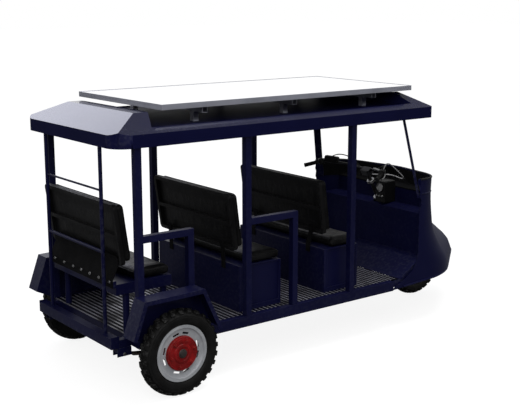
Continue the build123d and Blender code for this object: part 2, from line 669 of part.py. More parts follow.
# Dashboard: a shelf inside the cowl's rim and a liner up to the rim
def dashboard():
    gap = COWL_WALL + FIT_GAP
    rear, front = behind_to_x(COWL_SIDE_REAR) + LINER_SETBACK, ahead_to_x(0)
    solid = cowl_form(gap)
    liner = solid - cowl_form(gap + LINER_WALL, 40.0)
    liner &= block(rear, front, -COWL_HALF_WIDTH, COWL_HALF_WIDTH, DASH_Z, LINER_TOP)
    shelf = block(ahead_to_x(SHELF_X), front, -COWL_HALF_WIDTH, COWL_HALF_WIDTH, DASH_Z, DASH_Z + COWL_WALL)
    return liner + (solid & shelf)


POST_TOP = (-690.0, ROOF_HALF_WIDTH - 123.0)
POST_FOOT = (-563.0, COWL_HALF_WIDTH - 30.0)
POST_WIDTH = 56.0
POST_THICKNESS = 20.0


# Windscreen posts: flat strips set at an angle, leaning back from the cowl to the roof
def windscreen_posts():
    sections = []
    for (x, y), z in ((POST_FOOT, DASH_Z), (POST_TOP, PILLAR_TOP)):
        section = Plane.XY.offset(z) * Pos(ahead_to_x(x), y) * Rot(0, 0, -45) * Rectangle(POST_WIDTH, POST_THICKNESS)
        sections.append(section.faces()[0])
    post = loft(sections, ruled=True)
    return [post, other_side(post)]


HEADLAMP_X = -110.0
HEADLAMP_Z = 800.0
HEADLAMP_DEPTH = 75.0
HEADLAMP_RADIUS = 78.0


# Headlamp: a round lamp whose back follows the cowl
def headlamp():
    start = (ahead_to_x(HEADLAMP_X), 0, HEADLAMP_Z)
    end = (ahead_to_x(HEADLAMP_X) + HEADLAMP_DEPTH, 0, HEADLAMP_Z)
    return rod(start, end, HEADLAMP_RADIUS) - cowl_form(-FIT_GAP)


HEAD_LOW, HEAD_HIGH = 370.0, 560.0
NECK_RADIUS = 19.0
NECK_SPREAD = 190.0
NECK_BEND_Y = 130.0
NECK_RUN = 330.0
NECK_BEND_RADIUS = 90.0


# Steering neck: the head tube and two bent tubes back to the first cross member
def steering_neck():
    neck = rod(steering_point(HEAD_LOW), steering_point(HEAD_HIGH), HEAD_TUBE_RADIUS)
    mid = steering_point((HEAD_LOW + HEAD_HIGH) / 2)
    z = RAIL_TOP - FLOOR_THICKNESS - CROSS_DEPTH / 2
    for side in (-1, 1):
        start = (behind_to_x(RAIL_FRONT) - 10, side * NECK_SPREAD, z)
        bend = (behind_to_x(RAIL_FRONT) + NECK_RUN, side * NECK_BEND_Y, z)
        path = FilletPolyline(start, bend, (mid[0], side * 12, mid[2]), radius=NECK_BEND_RADIUS)
        neck += sweep(Plane(origin=path @ 0, z_dir=path % 0) * Circle(NECK_RADIUS), path)
    neck -= block(behind_to_x(RAIL_FRONT) - 50, behind_to_x(RAIL_FRONT), -300, 300, z - 60, z + 60)
    return neck - rod(steering_point(HEAD_LOW - 5), steering_point(HEAD_HIGH + 5), STEM_RADIUS + RUNNING_CLEARANCE)


AXLE_TUBE_RADIUS = 32.0
DIFFERENTIAL_RADIUS = 84.0
MOTOR_RADIUS = 62.0
MOTOR_OFFSET = 138.0
AXLE_HALF = WHEEL_CENTRE_Y - 72.0
BACKPLATE = 5.0
DRUM_GAP = 4.0
CASE_Y = (35.0, 60.0)
DIFFERENTIAL_HALF = 45.0
MOTOR_END_Y = 265.0


# Rear axle: a tube with the differential's bulge in the middle and the motor's gear case behind it
def rear_axle():
    x, z = behind_to_x(0), TYRE_RADIUS
    axle = cross_rod(x, z, -AXLE_HALF, AXLE_HALF, AXLE_TUBE_RADIUS)
    axle += cross_rod(x, z, -DIFFERENTIAL_HALF, DIFFERENTIAL_HALF, DIFFERENTIAL_RADIUS)
    axle += cross_rod(x, z, *CASE_Y, DIFFERENTIAL_RADIUS - 12)
    axle += cross_rod(x - MOTOR_OFFSET, z, *CASE_Y, MOTOR_RADIUS + 6)
    axle += block(x - MOTOR_OFFSET, x, *CASE_Y, z - MOTOR_RADIUS - 4, z + MOTOR_RADIUS - 24)
    for side in (-1, 1):
        y0, y1 = sorted((side * AXLE_HALF, side * (AXLE_HALF + BACKPLATE)))
        axle += cross_rod(x, z, y0, y1, DRUM_RADIUS)
        y0, y1 = sorted((side * (AXLE_HALF - SHAFT_LENGTH), side * (AXLE_HALF + BACKPLATE + 1)))
        axle -= cross_rod(x, z, y0, y1, SHAFT_RADIUS + RUNNING_CLEARANCE)
    return axle


def drive_motor():
    x, z = behind_to_x(-MOTOR_OFFSET), TYRE_RADIUS
    return cross_rod(x, z, CASE_Y[1], MOTOR_END_Y, MOTOR_RADIUS)


LEAF_THICKNESS = 8.0
LEAF_HALF_SPAN = 320.0
LEAF_EYE_Z = TYRE_RADIUS + 11.0
LEAF_HALF_WIDTH = 22.0
HANGER_HALF_LENGTH = 50.0
HANGER_HALF_WIDTH = 32.0
HANGER_DEPTH = 24.0
LEAVES = (1.0, 0.72, 0.45)


# Leaf springs: curved leaves under the axle, shorter ones below
def leaf_springs():
    springs = []
    top = TYRE_RADIUS - AXLE_TUBE_RADIUS
    for side in (-1, 1):
        y0, y1 = sorted((side * (SPRING_RAIL_Y - LEAF_HALF_WIDTH), side * (SPRING_RAIL_Y + LEAF_HALF_WIDTH)))
        pack = None
        for number, share in enumerate(LEAVES):
            half = LEAF_HALF_SPAN * share
            low = top - number * LEAF_THICKNESS
            rise = (LEAF_EYE_Z - top) * share * share
            x = behind_to_x(0)
            upper = ThreePointArc((x - half, low + rise), (x, low), (x + half, low + rise))
            lower = ThreePointArc((x + half, low + rise - LEAF_THICKNESS), (x, low - LEAF_THICKNESS),
                                  (x - half, low + rise - LEAF_THICKNESS))
            outline = [upper, Line(upper @ 1, lower @ 0), lower, Line(lower @ 1, upper @ 0)]
            plane = Plane(origin=(0, y1, 0), x_dir=(1, 0, 0), z_dir=(0, -1, 0))
            leaf = extrude(plane * make_face(outline), y1 - y0)
            pack = leaf if pack is None else pack + leaf
        springs.append(pack)
    return springs


# Spring hangers: a channel under the rail at each end of a spring, round the leaf's end
def spring_hangers():
    hangers = []
    top = RAIL_TOP - REAR_RAIL_DEPTH
    leaf_top = LEAF_EYE_Z + FIT_GAP
    for side in (-1, 1):
        for end in (-1, 1):
            x = behind_to_x(end * (LEAF_HALF_SPAN - 25))
            y = side * SPRING_RAIL_Y
            half, width, bore = HANGER_HALF_LENGTH, HANGER_HALF_WIDTH, LEAF_HALF_WIDTH + FIT_GAP
            channel = block(x - half, x + half, y - width, y + width, leaf_top - HANGER_DEPTH, top)
            channel -= block(x - half - 1, x + half + 1, y - bore, y + bore, leaf_top - HANGER_DEPTH - 1, leaf_top)
            hangers.append(channel)
    return hangers


# Wheel mouldings, drawn about the X axis of a plan and spun round the axle
def spun(profile, x, y, z):
    # The profile is (radius, offset along the axle) points. The result turns about a line along Y.
    face = make_face(Polyline(*profile, close=True))
    plane = Plane(origin=(x, y, z), x_dir=(1, 0, 0), z_dir=(0, 0, 1))
    return revolve(plane * face, axis=Axis((x, y, z), (0, 1, 0)))


# Tyre: a flat-sided casing with a chamfer at the rim and at the shoulder, out to the lugs' tips
def tyre(x, y, width):
    half = width / 2
    side = [(RIM_RADIUS + FIT_GAP, half - TYRE_FOOT_DEPTH), (TYRE_FOOT_RADIUS, half), (SHOULDER_RADIUS, half),
            (TYRE_RADIUS, half - TREAD_DROP)]
    return spun(side + [(radius, -offset) for radius, offset in reversed(side)], x, y, TYRE_RADIUS)


DISC_SETBACK = 16.0


# Rim: a well between two flanges, and a dished disc towards the side that outward gives as 1 or -1
def rim(x, y, outward):
    edge, wall = RIM_WIDTH / 2, RIM_SHELL
    disc = edge - DISC_SETBACK
    bore = BEAD_RADIUS - wall
    profile = [(RIM_RADIUS, -edge), (RIM_RADIUS, -edge + wall), (BEAD_RADIUS, -edge + wall + 3),
               (BEAD_RADIUS, edge - wall - 3), (RIM_RADIUS, edge - wall), (RIM_RADIUS, edge), (bore, edge),
               (DISC_RADIUS, disc + wall), (DISC_RADIUS - 24, disc), (HUB_HOLE_RADIUS, disc),
               (HUB_HOLE_RADIUS, disc - wall), (DISC_RADIUS - 22, disc - wall), (DISC_RADIUS, disc),
               (bore, disc - wall), (bore, -edge)]
    profile = [(radius, outward * offset) for radius, offset in profile]
    wheel = spun(profile, x, y, TYRE_RADIUS)
    slot = Pos(x, y + outward * (disc - wall / 2), TYRE_RADIUS) * Rot(90, 0, 0)
    for pair in range(SLOT_PAIRS):
        for side in (-0.5, 0.5):
            turn = 360.0 / SLOT_PAIRS * pair + side * SLOT_PAIR_SPREAD
            cut = Rot(0, 0, turn) * Pos(SLOT_RING_RADIUS, 0, 0) * Rot(0, 0, 90) * Box(SLOT_LENGTH, SLOT_WIDTH, SLOT_CUT)
            wheel -= slot * cut
    return wheel


# Rear hub: a flange on the disc's outer face, the drum behind it and the shaft into the axle
def rear_hub(x, y, outward):
    face = RIM_WIDTH / 2 - DISC_SETBACK
    disc_back, plug = face - RIM_SHELL, HUB_HOLE_RADIUS - FIT_GAP
    drum_in = AXLE_HALF + BACKPLATE + DRUM_GAP - WHEEL_CENTRE_Y
    flange, shaft_end = face + HUB_FLANGE_THICKNESS, drum_in - SHAFT_LENGTH + 1
    profile = [(0, flange + HUB_CAP_LENGTH), (HUB_CAP_RADIUS, flange + HUB_CAP_LENGTH), (HUB_CAP_RADIUS, flange),
               (HUB_RADIUS, flange), (HUB_RADIUS, face), (plug, face), (plug, disc_back), (DRUM_RADIUS, disc_back),
               (DRUM_RADIUS, drum_in), (SHAFT_RADIUS, drum_in), (SHAFT_RADIUS, shaft_end), (0, shaft_end)]
    profile = [(radius, outward * offset) for radius, offset in profile]
    return spun(profile, x, y, TYRE_RADIUS)


FRONT_SPINDLE_RADIUS = 8.0
FRONT_DRUM_RADIUS = 70.0
BEARING_RADIUS = 40.0
FRONT_FLANGE = 8.0


# Front hub: a drum with flanges, bored for the spindle between the fork's ends
def front_hub(x):
    face = RIM_WIDTH / 2 - DISC_SETBACK
    disc_back, plug = face - RIM_SHELL, HUB_HOLE_RADIUS - FIT_GAP
    bore = FRONT_SPINDLE_RADIUS + RUNNING_CLEARANCE
    flange, drum_end = face + FRONT_FLANGE, -face + 2
    profile = [(bore, flange + 4), (BEARING_RADIUS, flange + 4), (BEARING_RADIUS, flange), (HUB_RADIUS, flange),
               (HUB_RADIUS, face), (plug, face), (plug, disc_back), (FRONT_DRUM_RADIUS, disc_back),
               (FRONT_DRUM_RADIUS, drum_end), (BEARING_RADIUS, -face - FRONT_FLANGE), (bore, -face - FRONT_FLANGE)]
    return spun(profile, x, 0, TYRE_RADIUS)


LEG_Y = 84.0
LEG_RADIUS = 19.0
CROWN_AT = 350.0


def fork_point(distance, y):
    # A point along a fork leg, measured up from the front axle.
    lean = radians(STEERING_RAKE)
    return (FRONT_AXLE_X - distance * sin(lean), y, TYRE_RADIUS + distance * cos(lean))


# Fork: two legs, a crown over the wheel, the spindle and the stem up through the head tube
def fork():
    lean = radians(STEERING_RAKE)
    pieces = cross_rod(FRONT_AXLE_X, TYRE_RADIUS, -LEG_Y - 12, LEG_Y + 12, FRONT_SPINDLE_RADIUS)
    for side in (-1, 1):
        pieces += rod(fork_point(-24, side * LEG_Y), fork_point(CROWN_AT, side * LEG_Y), LEG_RADIUS)
    start = fork_point(CROWN_AT - 22, 0)
    plane = Plane(origin=start, x_dir=(cos(lean), 0, sin(lean)), z_dir=(-sin(lean), 0, cos(lean)))
    axis_low = steering_point(0)
    away = ((axis_low[0] - start[0]) * cos(lean) + (axis_low[2] - start[2]) * sin(lean))
    crown = extrude(plane * Pos(away / 2, 0) * RectangleRounded(abs(away) + 76, 2 * LEG_Y + 56, 20), 22)
    pieces += crown
    crown_centre = (start[0] + away * cos(lean), 0.0, start[2] + away * sin(lean))
    pieces += rod(crown_centre, steering_point(STEM_TOP), STEM_RADIUS)
    return pieces


STEM_TOP = 930.0
BAR_RADIUS = 11.0
BAR_BEND_RADIUS = 30.0
# Corners of the bar from its end to the clamp: ahead of the front axle, out from the middle, height
BAR_ENDS = ((-860.0, 420.0, 1136.0), (-722.0, 342.0, 1172.0), (-610.0, 130.0, 1152.0), (-555.0, 60.0, 1128.0))


# Handlebar: one bent tube held in a clamp on top of the stem
def handlebar():
    right = [(ahead_to_x(x), -y, z) for x, y, z in BAR_ENDS]
    left = [(ahead_to_x(x), y, z) for x, y, z in reversed(BAR_ENDS)]
    path = FilletPolyline(*right, *left, radius=BAR_BEND_RADIUS)
    bar = sweep(Plane(origin=path @ 0, z_dir=path % 0) * Circle(BAR_RADIUS), path)
    top = steering_point(STEM_TOP)
    tip = Vector(*steering_point(STEM_TOP + 60))
    bar += extrude(Plane(origin=top, z_dir=tip - Vector(*top)) * RectangleRounded(56, 90, 12), 50)
    return bar


GRIP_RADIUS = 16.5


# Hand controls: a grip and a switch pod on each end of the bar
def hand_controls():
    parts = []
    for side in (-1, 1):
        end, bend = [Vector(ahead_to_x(x), side * y, z) for x, y, z in BAR_ENDS[:2]]
        run = bend - end
        start, pod = end - run * 0.02, end + run * 0.70
        grip = extrude(Plane(origin=start, z_dir=run) * Circle(GRIP_RADIUS), run.length * 0.66)
        grip -= extrude(Plane(origin=end - run * 0.001, z_dir=run) * Circle(BAR_RADIUS + FIT_GAP), run.length)
        housing = extrude(Plane(origin=pod, z_dir=run) * RectangleRounded(62, 46, 12), 42)
        housing -= extrude(Plane(origin=end, z_dir=run) * Circle(BAR_RADIUS + FIT_GAP), run.length)
        parts += [grip, housing]
    return parts


NODES = {
    "chassis_rails": chassis_rails,
    "cross_members": cross_members,
    "rear_beam": rear_beam,
    "floor_plate": floor_plate,
    "pillars": pillars,
    "side_guards": side_guards,
    "rear_guard": rear_guard,
    "roof_rails": roof_rails,
    "roof_bows": roof_bows,
    "roof_shell": roof_shell,
    "solar_panel": solar_panel,
    "panel_bars": panel_bars,
    "fender_left": fender,
    "fender_right": lambda: other_side(fender()),
    "rear_bench": rear_bench,
    "seat_boxes": seat_boxes,
    "battery_pack": battery_pack,
    "backrest_strips": backrest_strips,
    "front_cowl": front_cowl,
    "toe_board": toe_board,
    "dashboard": dashboard,
    "switch_box": switch_box,
    "windscreen_posts": windscreen_posts,
    "headlamp": headlamp,
    "steering_neck": steering_neck,
    "rear_axle": rear_axle,
    "drive_motor": drive_motor,
    "leaf_springs": leaf_springs,
    "spring_hangers": spring_hangers,
    "fork": fork,
    "handlebar": handlebar,
    "hand_controls": hand_controls,
}

for node, make in NODES.items():
    write(node, make())

# Cushions: rear edge, front edge, half width, foot and top
CUSHIONS = {
    "rear": (BENCH_REAR + 135.0, BENCH_FRONT, BENCH_HALF, BENCH_TOP, CUSHION_TOP + 12.0),
}
for name, (rear, front) in SEAT_BOXES.items():
    CUSHIONS[name] = (rear + 70.0, front + 4.0, SEAT_BOX_HALF_WIDTH, SEAT_BOX_TOP, CUSHION_TOP)
for name, (rear, front, half, foot, top) in CUSHIONS.items():
    write(f"cushion_{name}", cushion(behind_to_x(rear), behind_to_x(front), half, foot + FIT_GAP, top))
write("backrest_shells", [backrest_shell(*spot) for spot in BACKRESTS.values()])
for name, spot in BACKRESTS.items():
    write(f"backrest_pad_{name}", backrest_pad(*spot))

WHEELS = {
    "rear_right": (REAR_AXLE_X, -WHEEL_CENTRE_Y, REAR_TYRE_WIDTH, -1),
    "rear_left": (REAR_AXLE_X, WHEEL_CENTRE_Y, REAR_TYRE_WIDTH, 1),
    "front": (FRONT_AXLE_X, 0.0, FRONT_TYRE_WIDTH, 1),
}
for name, (x, y, width, outward) in WHEELS.items():
    write(f"tyre_{name}", tyre(x, y, width))
    write(f"rim_{name}", rim(x, y, outward))
    write(f"hub_{name}", front_hub(x) if name == "front" else rear_hub(x, y, outward))
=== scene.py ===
from math import acos, atan2, cos, pi, radians, sin, sqrt

import bmesh
import bpy
from mathutils import Matrix, Vector
from mathutils.bvhtree import BVHTree


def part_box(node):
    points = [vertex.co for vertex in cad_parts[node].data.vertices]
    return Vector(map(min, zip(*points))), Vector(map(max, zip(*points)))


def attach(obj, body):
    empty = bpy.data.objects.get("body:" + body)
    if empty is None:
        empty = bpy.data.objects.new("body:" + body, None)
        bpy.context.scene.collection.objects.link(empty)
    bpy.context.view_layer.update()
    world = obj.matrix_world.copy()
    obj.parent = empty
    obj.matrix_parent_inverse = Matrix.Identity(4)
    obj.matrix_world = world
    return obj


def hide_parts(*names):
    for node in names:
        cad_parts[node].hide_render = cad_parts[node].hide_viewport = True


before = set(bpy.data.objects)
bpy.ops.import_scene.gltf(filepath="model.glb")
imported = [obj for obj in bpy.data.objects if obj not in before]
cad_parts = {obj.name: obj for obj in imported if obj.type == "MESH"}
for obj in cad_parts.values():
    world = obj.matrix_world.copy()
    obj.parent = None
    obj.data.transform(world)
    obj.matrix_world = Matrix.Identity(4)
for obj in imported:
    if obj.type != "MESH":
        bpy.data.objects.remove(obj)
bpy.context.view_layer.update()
scene = bpy.context.scene

# The photograph's view: a long lens from behind the vehicle's right side, a little above its roof,
# turned towards the front and tilted down.
view = bpy.data.objects.new("view", bpy.data.cameras.new("view"))
view.location = (-4.6883, -5.8323, 2.5142)
view.rotation_euler = (radians(90 - 12.005), 0.0, radians(52.5 - 90))
view.data.lens = 70.3
view.data.sensor_width = 36.0
scene.collection.objects.link(view)
scene.camera = view
scene.view_settings.view_transform = "Standard"

# A pale floor that runs out of the picture, lit by an even sky and two soft lamps. The floor keeps the
# vehicle's shadow and looks white where nothing stands over it.
FLOOR_REACH = 60.0
FLOOR_COLOUR = (0.22, 0.22, 0.22, 1)
SKY_FILL = 0.6
SEEN_WHITE = 1.0
MIRRORED_WHITE = 1.0
MIRRORED_HEAD = 0.30
SKY_FOOT = (0.0, 0.07)
SKY_HEAD = (0.42, 0.58)
FLOOR_GLOW = 0.88


def node_in(tree, kind, **settings):
    node = tree.nodes.new(kind)
    for name, value in settings.items():
        setattr(node, name, value)
    return node


def math_node(tree, operation, first, second=None, clamp=False):
    node = node_in(tree, "ShaderNodeMath", operation=operation, use_clamp=clamp)
    for place, value in enumerate((first, second)):
        if value is None:
            continue
        if isinstance(value, (int, float)):
            node.inputs[place].default_value = value
        else:
            tree.links.new(value, node.inputs[place])
    return node.outputs[0]


def times(tree, first, second, **settings):
    return math_node(tree, "MULTIPLY", first, second, **settings)


def plus(tree, first, second, **settings):
    return math_node(tree, "ADD", first, second, **settings)


def minus(tree, first, second, **settings):
    return math_node(tree, "SUBTRACT", first, second, **settings)


def axes_of(tree, vector):
    # The three parts of a vector, to be taken by name.
    split = node_in(tree, "ShaderNodeSeparateXYZ")
    tree.links.new(vector, split.inputs[0])
    return split.outputs


def background_strength(tree, seen, mirrored):
    # Full strength where the camera looks, or looks through glass, and less in what is glossy.
    path = node_in(tree, "ShaderNodeLightPath")
    straight = math_node(tree, "MAXIMUM", path.outputs["Is Camera Ray"], path.outputs["Is Transmission Ray"])
    straight = times(tree, straight, seen)
    return math_node(tree, "MAXIMUM", straight, times(tree, path.outputs["Is Glossy Ray"], mirrored))


world = bpy.data.worlds.new("sky")
world.use_nodes = True
scene.world = world
sky = world.node_tree
sky_light = sky.nodes["Background"]
sky_light.inputs["Color"].default_value = (1, 1, 1, 1)
# What is glossy mirrors a sky that is dark at its foot, white above it and dimmer overhead.
towards = axes_of(sky, node_in(sky, "ShaderNodeTexCoord").outputs["Generated"])
mirrored_sky = MIRRORED_WHITE
for (low, high), start, end in ((SKY_FOOT, 0.0, 1.0), (SKY_HEAD, 1.0, MIRRORED_HEAD)):
    band = node_in(sky, "ShaderNodeMapRange", interpolation_type="SMOOTHSTEP")
    for label, value in (("From Min", low), ("From Max", high), ("To Min", start), ("To Max", end)):
        band.inputs[label].default_value = value
    sky.links.new(towards["Z"], band.inputs["Value"])
    mirrored_sky = times(sky, band.outputs["Result"], mirrored_sky)
looked_at = background_strength(sky, SEEN_WHITE, mirrored_sky)
diffuse_ray = node_in(sky, "ShaderNodeLightPath").outputs["Is Diffuse Ray"]
filled = times(sky, diffuse_ray, SKY_FILL)
sky.links.new(math_node(sky, "MAXIMUM", looked_at, filled), sky_light.inputs["Strength"])

slab = bmesh.new()
bmesh.ops.create_grid(slab, x_segments=1, y_segments=1, size=FLOOR_REACH)
floor_mesh = bpy.data.meshes.new("floor")
slab.to_mesh(floor_mesh)
slab.free()
floor = bpy.data.objects.new("floor", floor_mesh)
scene.collection.objects.link(floor)
floor_finish = bpy.data.materials.new("floor_white")
floor_finish.use_nodes = True
floor_tree = floor_finish.node_tree
floor_shader = floor_tree.nodes["Principled BSDF"]
floor_shader.inputs["Base Color"].default_value = FLOOR_COLOUR
floor_shader.inputs["Roughness"].default_value = 0.9
floor_shader.inputs["Specular IOR Level"].default_value = 0.0
floor_shader.inputs["Emission Color"].default_value = (1, 1, 1, 1)
glow = background_strength(floor_tree, FLOOR_GLOW, 0.0)
floor_tree.links.new(glow, floor_shader.inputs["Emission Strength"])
floor_mesh.materials.append(floor_finish)

# Lamp: name, direction from the vehicle, distance, size, power and colour
LAMPS = (
    ("key", (-0.014, 0.858, 0.513), 7.2, 4.0, 88.0, (0.80, 0.82, 1.0)),
    ("side", (-0.62, -0.62, 0.48), 7.0, 3.0, 110.0, (1.0, 1.0, 1.0)),
    ("top", (0.15, -0.25, 1.0), 6.0, 3.0, 210.0, (1.0, 1.0, 1.0)),
)
for name, direction, distance, size, power, colour in LAMPS:
    lamp = bpy.data.objects.new(name, bpy.data.lights.new(name, "AREA"))
    lamp.data.color = colour
    lamp.data.size = size
    lamp.data.energy = power
    aim = Vector(direction).normalized()
    lamp.location = aim * distance + Vector((0, 0, 1.0))
    lamp.rotation_euler = aim.to_track_quat("Z", "Y").to_euler()
    scene.collection.objects.link(lamp)

# Welded frame of square steel tube: rails, cross members, pillars, side guards and roof bows, mitred,
# ground smooth at the joints and sprayed dark blue. Dust settles low down, and edges are rubbed pale.
NAVY = (0.0036, 0.0041, 0.026)
NAVY_LIGHT = (0.0047, 0.0053, 0.032)
ROAD_DUST = (0.16, 0.14, 0.115)
BARE_PRIMER = (0.075, 0.078, 0.10)


def new_group(name, inputs, outputs):
    # Each input and output is a name and a kind of socket, with a starting value for an input.
    group = bpy.data.node_groups.new(name, "ShaderNodeTree")
    for label, kind, value in inputs:
        socket = group.interface.new_socket(label, in_out="INPUT", socket_type="NodeSocket" + kind)
        if value is not None:
            socket.default_value = value
    for label, kind in outputs:
        group.interface.new_socket(label, in_out="OUTPUT", socket_type="NodeSocket" + kind)
    return group, group.nodes.new("NodeGroupInput"), group.nodes.new("NodeGroupOutput")


def noise_node(tree, coordinates, scale, detail=3.0, stretch=None):
    if stretch:
        mapping = node_in(tree, "ShaderNodeMapping")
        mapping.inputs["Scale"].default_value = stretch
        tree.links.new(coordinates, mapping.inputs["Vector"])
        coordinates = mapping.outputs["Vector"]
    noise = node_in(tree, "ShaderNodeTexNoise")
    noise.inputs["Detail"].default_value = detail
    if isinstance(scale, (int, float)):
        noise.inputs["Scale"].default_value = scale
    else:
        tree.links.new(scale, noise.inputs["Scale"])
    tree.links.new(coordinates, noise.inputs["Vector"])
    return noise.outputs["Fac"]


def ramp(tree, value, low, high):
    # A smooth mask that is 0 below low and 1 above high.
    node = node_in(tree, "ShaderNodeMapRange", interpolation_type="SMOOTHSTEP")
    node.inputs["From Min"].default_value = low
    node.inputs["From Max"].default_value = high
    tree.links.new(value, node.inputs["Value"])
    return node.outputs["Result"]


def mix_colour(tree, factor, first, second):
    node = node_in(tree, "ShaderNodeMix", data_type="RGBA")
    sockets = {socket.identifier: socket for socket in node.inputs}
    for label, value in (("Factor_Float", factor), ("A_Color", first), ("B_Color", second)):
        socket = sockets[label]
        if isinstance(value, tuple):
            socket.default_value = (*value, 1)
        else:
            tree.links.new(value, socket)
    return [output for output in node.outputs if output.identifier == "Result_Color"][0]


# Road dust lies on faces that look up, and thicker near the ground
def road_dust_group():
    group, given, result = new_group(
        "road_dust",
        [("Vector", "Vector", None), ("Amount", "Float", 0.5), ("Height", "Float", 0.6)],
        [("Mask", "Float")])
    height = axes_of(group, given.outputs["Vector"])["Z"]
    facing = axes_of(group, node_in(group, "ShaderNodeNewGeometry").outputs["Normal"])["Z"]
    low = math_node(group, "DIVIDE", height, given.outputs["Height"], clamp=True)
    low = minus(group, 1.0, low, clamp=True)
    up = times(group, math_node(group, "MAXIMUM", facing, 0.0), 0.5)
    cloud = ramp(group, noise_node(group, given.outputs["Vector"], 6.0, 6.0), 0.35, 0.75)
    fine = ramp(group, noise_node(group, given.outputs["Vector"], 60.0, 4.0), 0.3, 0.8)
    body = times(group, plus(group, low, up), cloud)
    body = times(group, body, plus(group, times(group, fine, 0.6), 0.4))
    group.links.new(times(group, body, given.outputs["Amount"], clamp=True), result.inputs["Mask"])
    return group


# Wear along raised edges, broken up by a noise
def worn_edge_group():
    group, given, result = new_group(
        "worn_edge",
        [("Vector", "Vector", None), ("Amount", "Float", 0.5), ("Scale", "Float", 30.0)],
        [("Mask", "Float")])
    geometry = node_in(group, "ShaderNodeNewGeometry")
    edge = ramp(group, geometry.outputs["Pointiness"], 0.52, 0.62)
    broken = ramp(group, noise_node(group, given.outputs["Vector"], given.outputs["Scale"], 5.0), 0.45, 0.65)
    worn = times(group, edge, broken)
    group.links.new(times(group, worn, given.outputs["Amount"], clamp=True), result.inputs["Mask"])
    return group


# Fine waviness of a sprayed, cast or moulded skin
def skin_group():
    group, given, result = new_group(
        "skin",
        [("Vector", "Vector", None), ("Fine", "Float", 300.0), ("Coarse", "Float", 4.0),
         ("Share", "Float", 0.4)],
        [("Height", "Float")])
    fine = noise_node(group, given.outputs["Vector"], given.outputs["Fine"], 2.0)
    coarse = noise_node(group, given.outputs["Vector"], given.outputs["Coarse"], 2.0)
    fine = times(group, fine, given.outputs["Share"])
    group.links.new(plus(group, fine, coarse), result.inputs["Height"])
    return group


GROUPS = {"road_dust": road_dust_group(), "worn_edge": worn_edge_group(), "skin": skin_group()}


def start_material(name, roughness, metallic=0.0, specular=0.5):
    material = bpy.data.materials.new(name)
    material.use_nodes = True
    tree = material.node_tree
    shader = tree.nodes["Principled BSDF"]
    shader.inputs["Roughness"].default_value = roughness
    shader.inputs["Metallic"].default_value = metallic
    shader.inputs["Specular IOR Level"].default_value = specular
    place = node_in(tree, "ShaderNodeTexCoord").outputs["Object"]
    return material, tree, shader, place


def use_group(tree, name, place, **values):
    node = node_in(tree, "ShaderNodeGroup", node_tree=GROUPS[name])
    tree.links.new(place, node.inputs["Vector"])
    for label, value in values.items():
        node.inputs[label].default_value = value
    return node.outputs[0]


def add_bump(tree, shader, height, distance, strength=1.0):
    bump = node_in(tree, "ShaderNodeBump")
    bump.inputs["Distance"].default_value = distance
    bump.inputs["Strength"].default_value = strength
    tree.links.new(height, bump.inputs["Height"])
    tree.links.new(bump.outputs["Normal"], shader.inputs["Normal"])


def dusted(tree, place, colour, amount, height):
    # The colour under road dust, and the dust's mask.
    dirt = use_group(tree, "road_dust", place, Amount=amount, Height=height)
    return mix_colour(tree, dirt, colour, ROAD_DUST), dirt


def feed(shader, socket, value):
    shader.id_data.links.new(value, shader.inputs[socket])


def coated(name, dark, light, roughness, specular, wear, dust, skin, mottle, metallic=0.0, dulled=0.4,
           uneven=None):
    # A skin mottled between two shades, rubbed pale along its edges and dusted, with an uneven gloss.
    # wear: amount, scale and rubbed colour. dust: amount and height. skin: fine, coarse, share, depth and
    # strength. mottle: scale, detail and the two ends. uneven: scale, detail and depth of the gloss, which
    # follows the mottle where it has no scale.
    material, tree, shader, place = start_material(name, roughness, metallic, specular)
    shade = ramp(tree, noise_node(tree, place, mottle[0], mottle[1]), mottle[2], mottle[3])
    edge = use_group(tree, "worn_edge", place, Amount=wear[0], Scale=wear[1])
    colour = mix_colour(tree, edge, mix_colour(tree, shade, dark, light), wear[2])
    colour, dirt = dusted(tree, place, colour, dust[0], dust[1])
    feed(shader, "Base Color", colour)
    rough = times(tree, dirt, dulled)
    if uneven:
        gloss = noise_node(tree, place, uneven[0], uneven[1]) if uneven[0] else shade
        rough = plus(tree, rough, times(tree, gloss, uneven[2]))
    feed(shader, "Roughness", plus(tree, rough, roughness))
    height = use_group(tree, "skin", place, Fine=skin[0], Coarse=skin[1], Share=skin[2])
    add_bump(tree, shader, height, skin[3], skin[4])
    return material


def blue(name, wear, dust, roughness, specular, ripple=0.0002):
    return coated(name, NAVY, NAVY_LIGHT, roughness, specular, (wear, 45.0, BARE_PRIMER), (dust, 0.75),
                  (700.0, 14.0, 0.12, ripple, 0.5), (3.0, 4.0, 0.3, 0.7), dulled=0.5, uneven=(5.0, 2.0, 0.10))


def finished(name, form, material, slot, *nodes, body="vehicle", smooth=40.0):
    # Makes a piece of a bmesh, with its finish, the CAD nodes it stands for and its body. Its slot is not
    # used.
    mesh = bpy.data.meshes.new(name)
    bmesh.ops.recalc_face_normals(form, faces=form.faces)
    for face in form.faces:
        face.smooth = True
    form.to_mesh(mesh)
    form.free()
    mesh.set_sharp_from_angle(angle=radians(smooth))
    mesh.materials.append(material)
    piece = bpy.data.objects.new(name, mesh)
    scene.collection.objects.link(piece)
    # Large faces shade flat, and only the roundings between them turn the light.
    flat_faces = piece.modifiers.new("flat_faces", "WEIGHTED_NORMAL")
    flat_faces.keep_sharp = True
    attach(piece, body)
    if nodes:
        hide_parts(*nodes)
    return piece


def copied(node):
    # A CAD node's form with its facets merged into whole faces.
    form = bmesh.new()
    form.from_mesh(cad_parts[node].data)
    bmesh.ops.remove_doubles(form, verts=form.verts, dist=0.00002)
    bmesh.ops.dissolve_limit(form, angle_limit=radians(0.6), verts=form.verts, edges=form.edges)
    return form


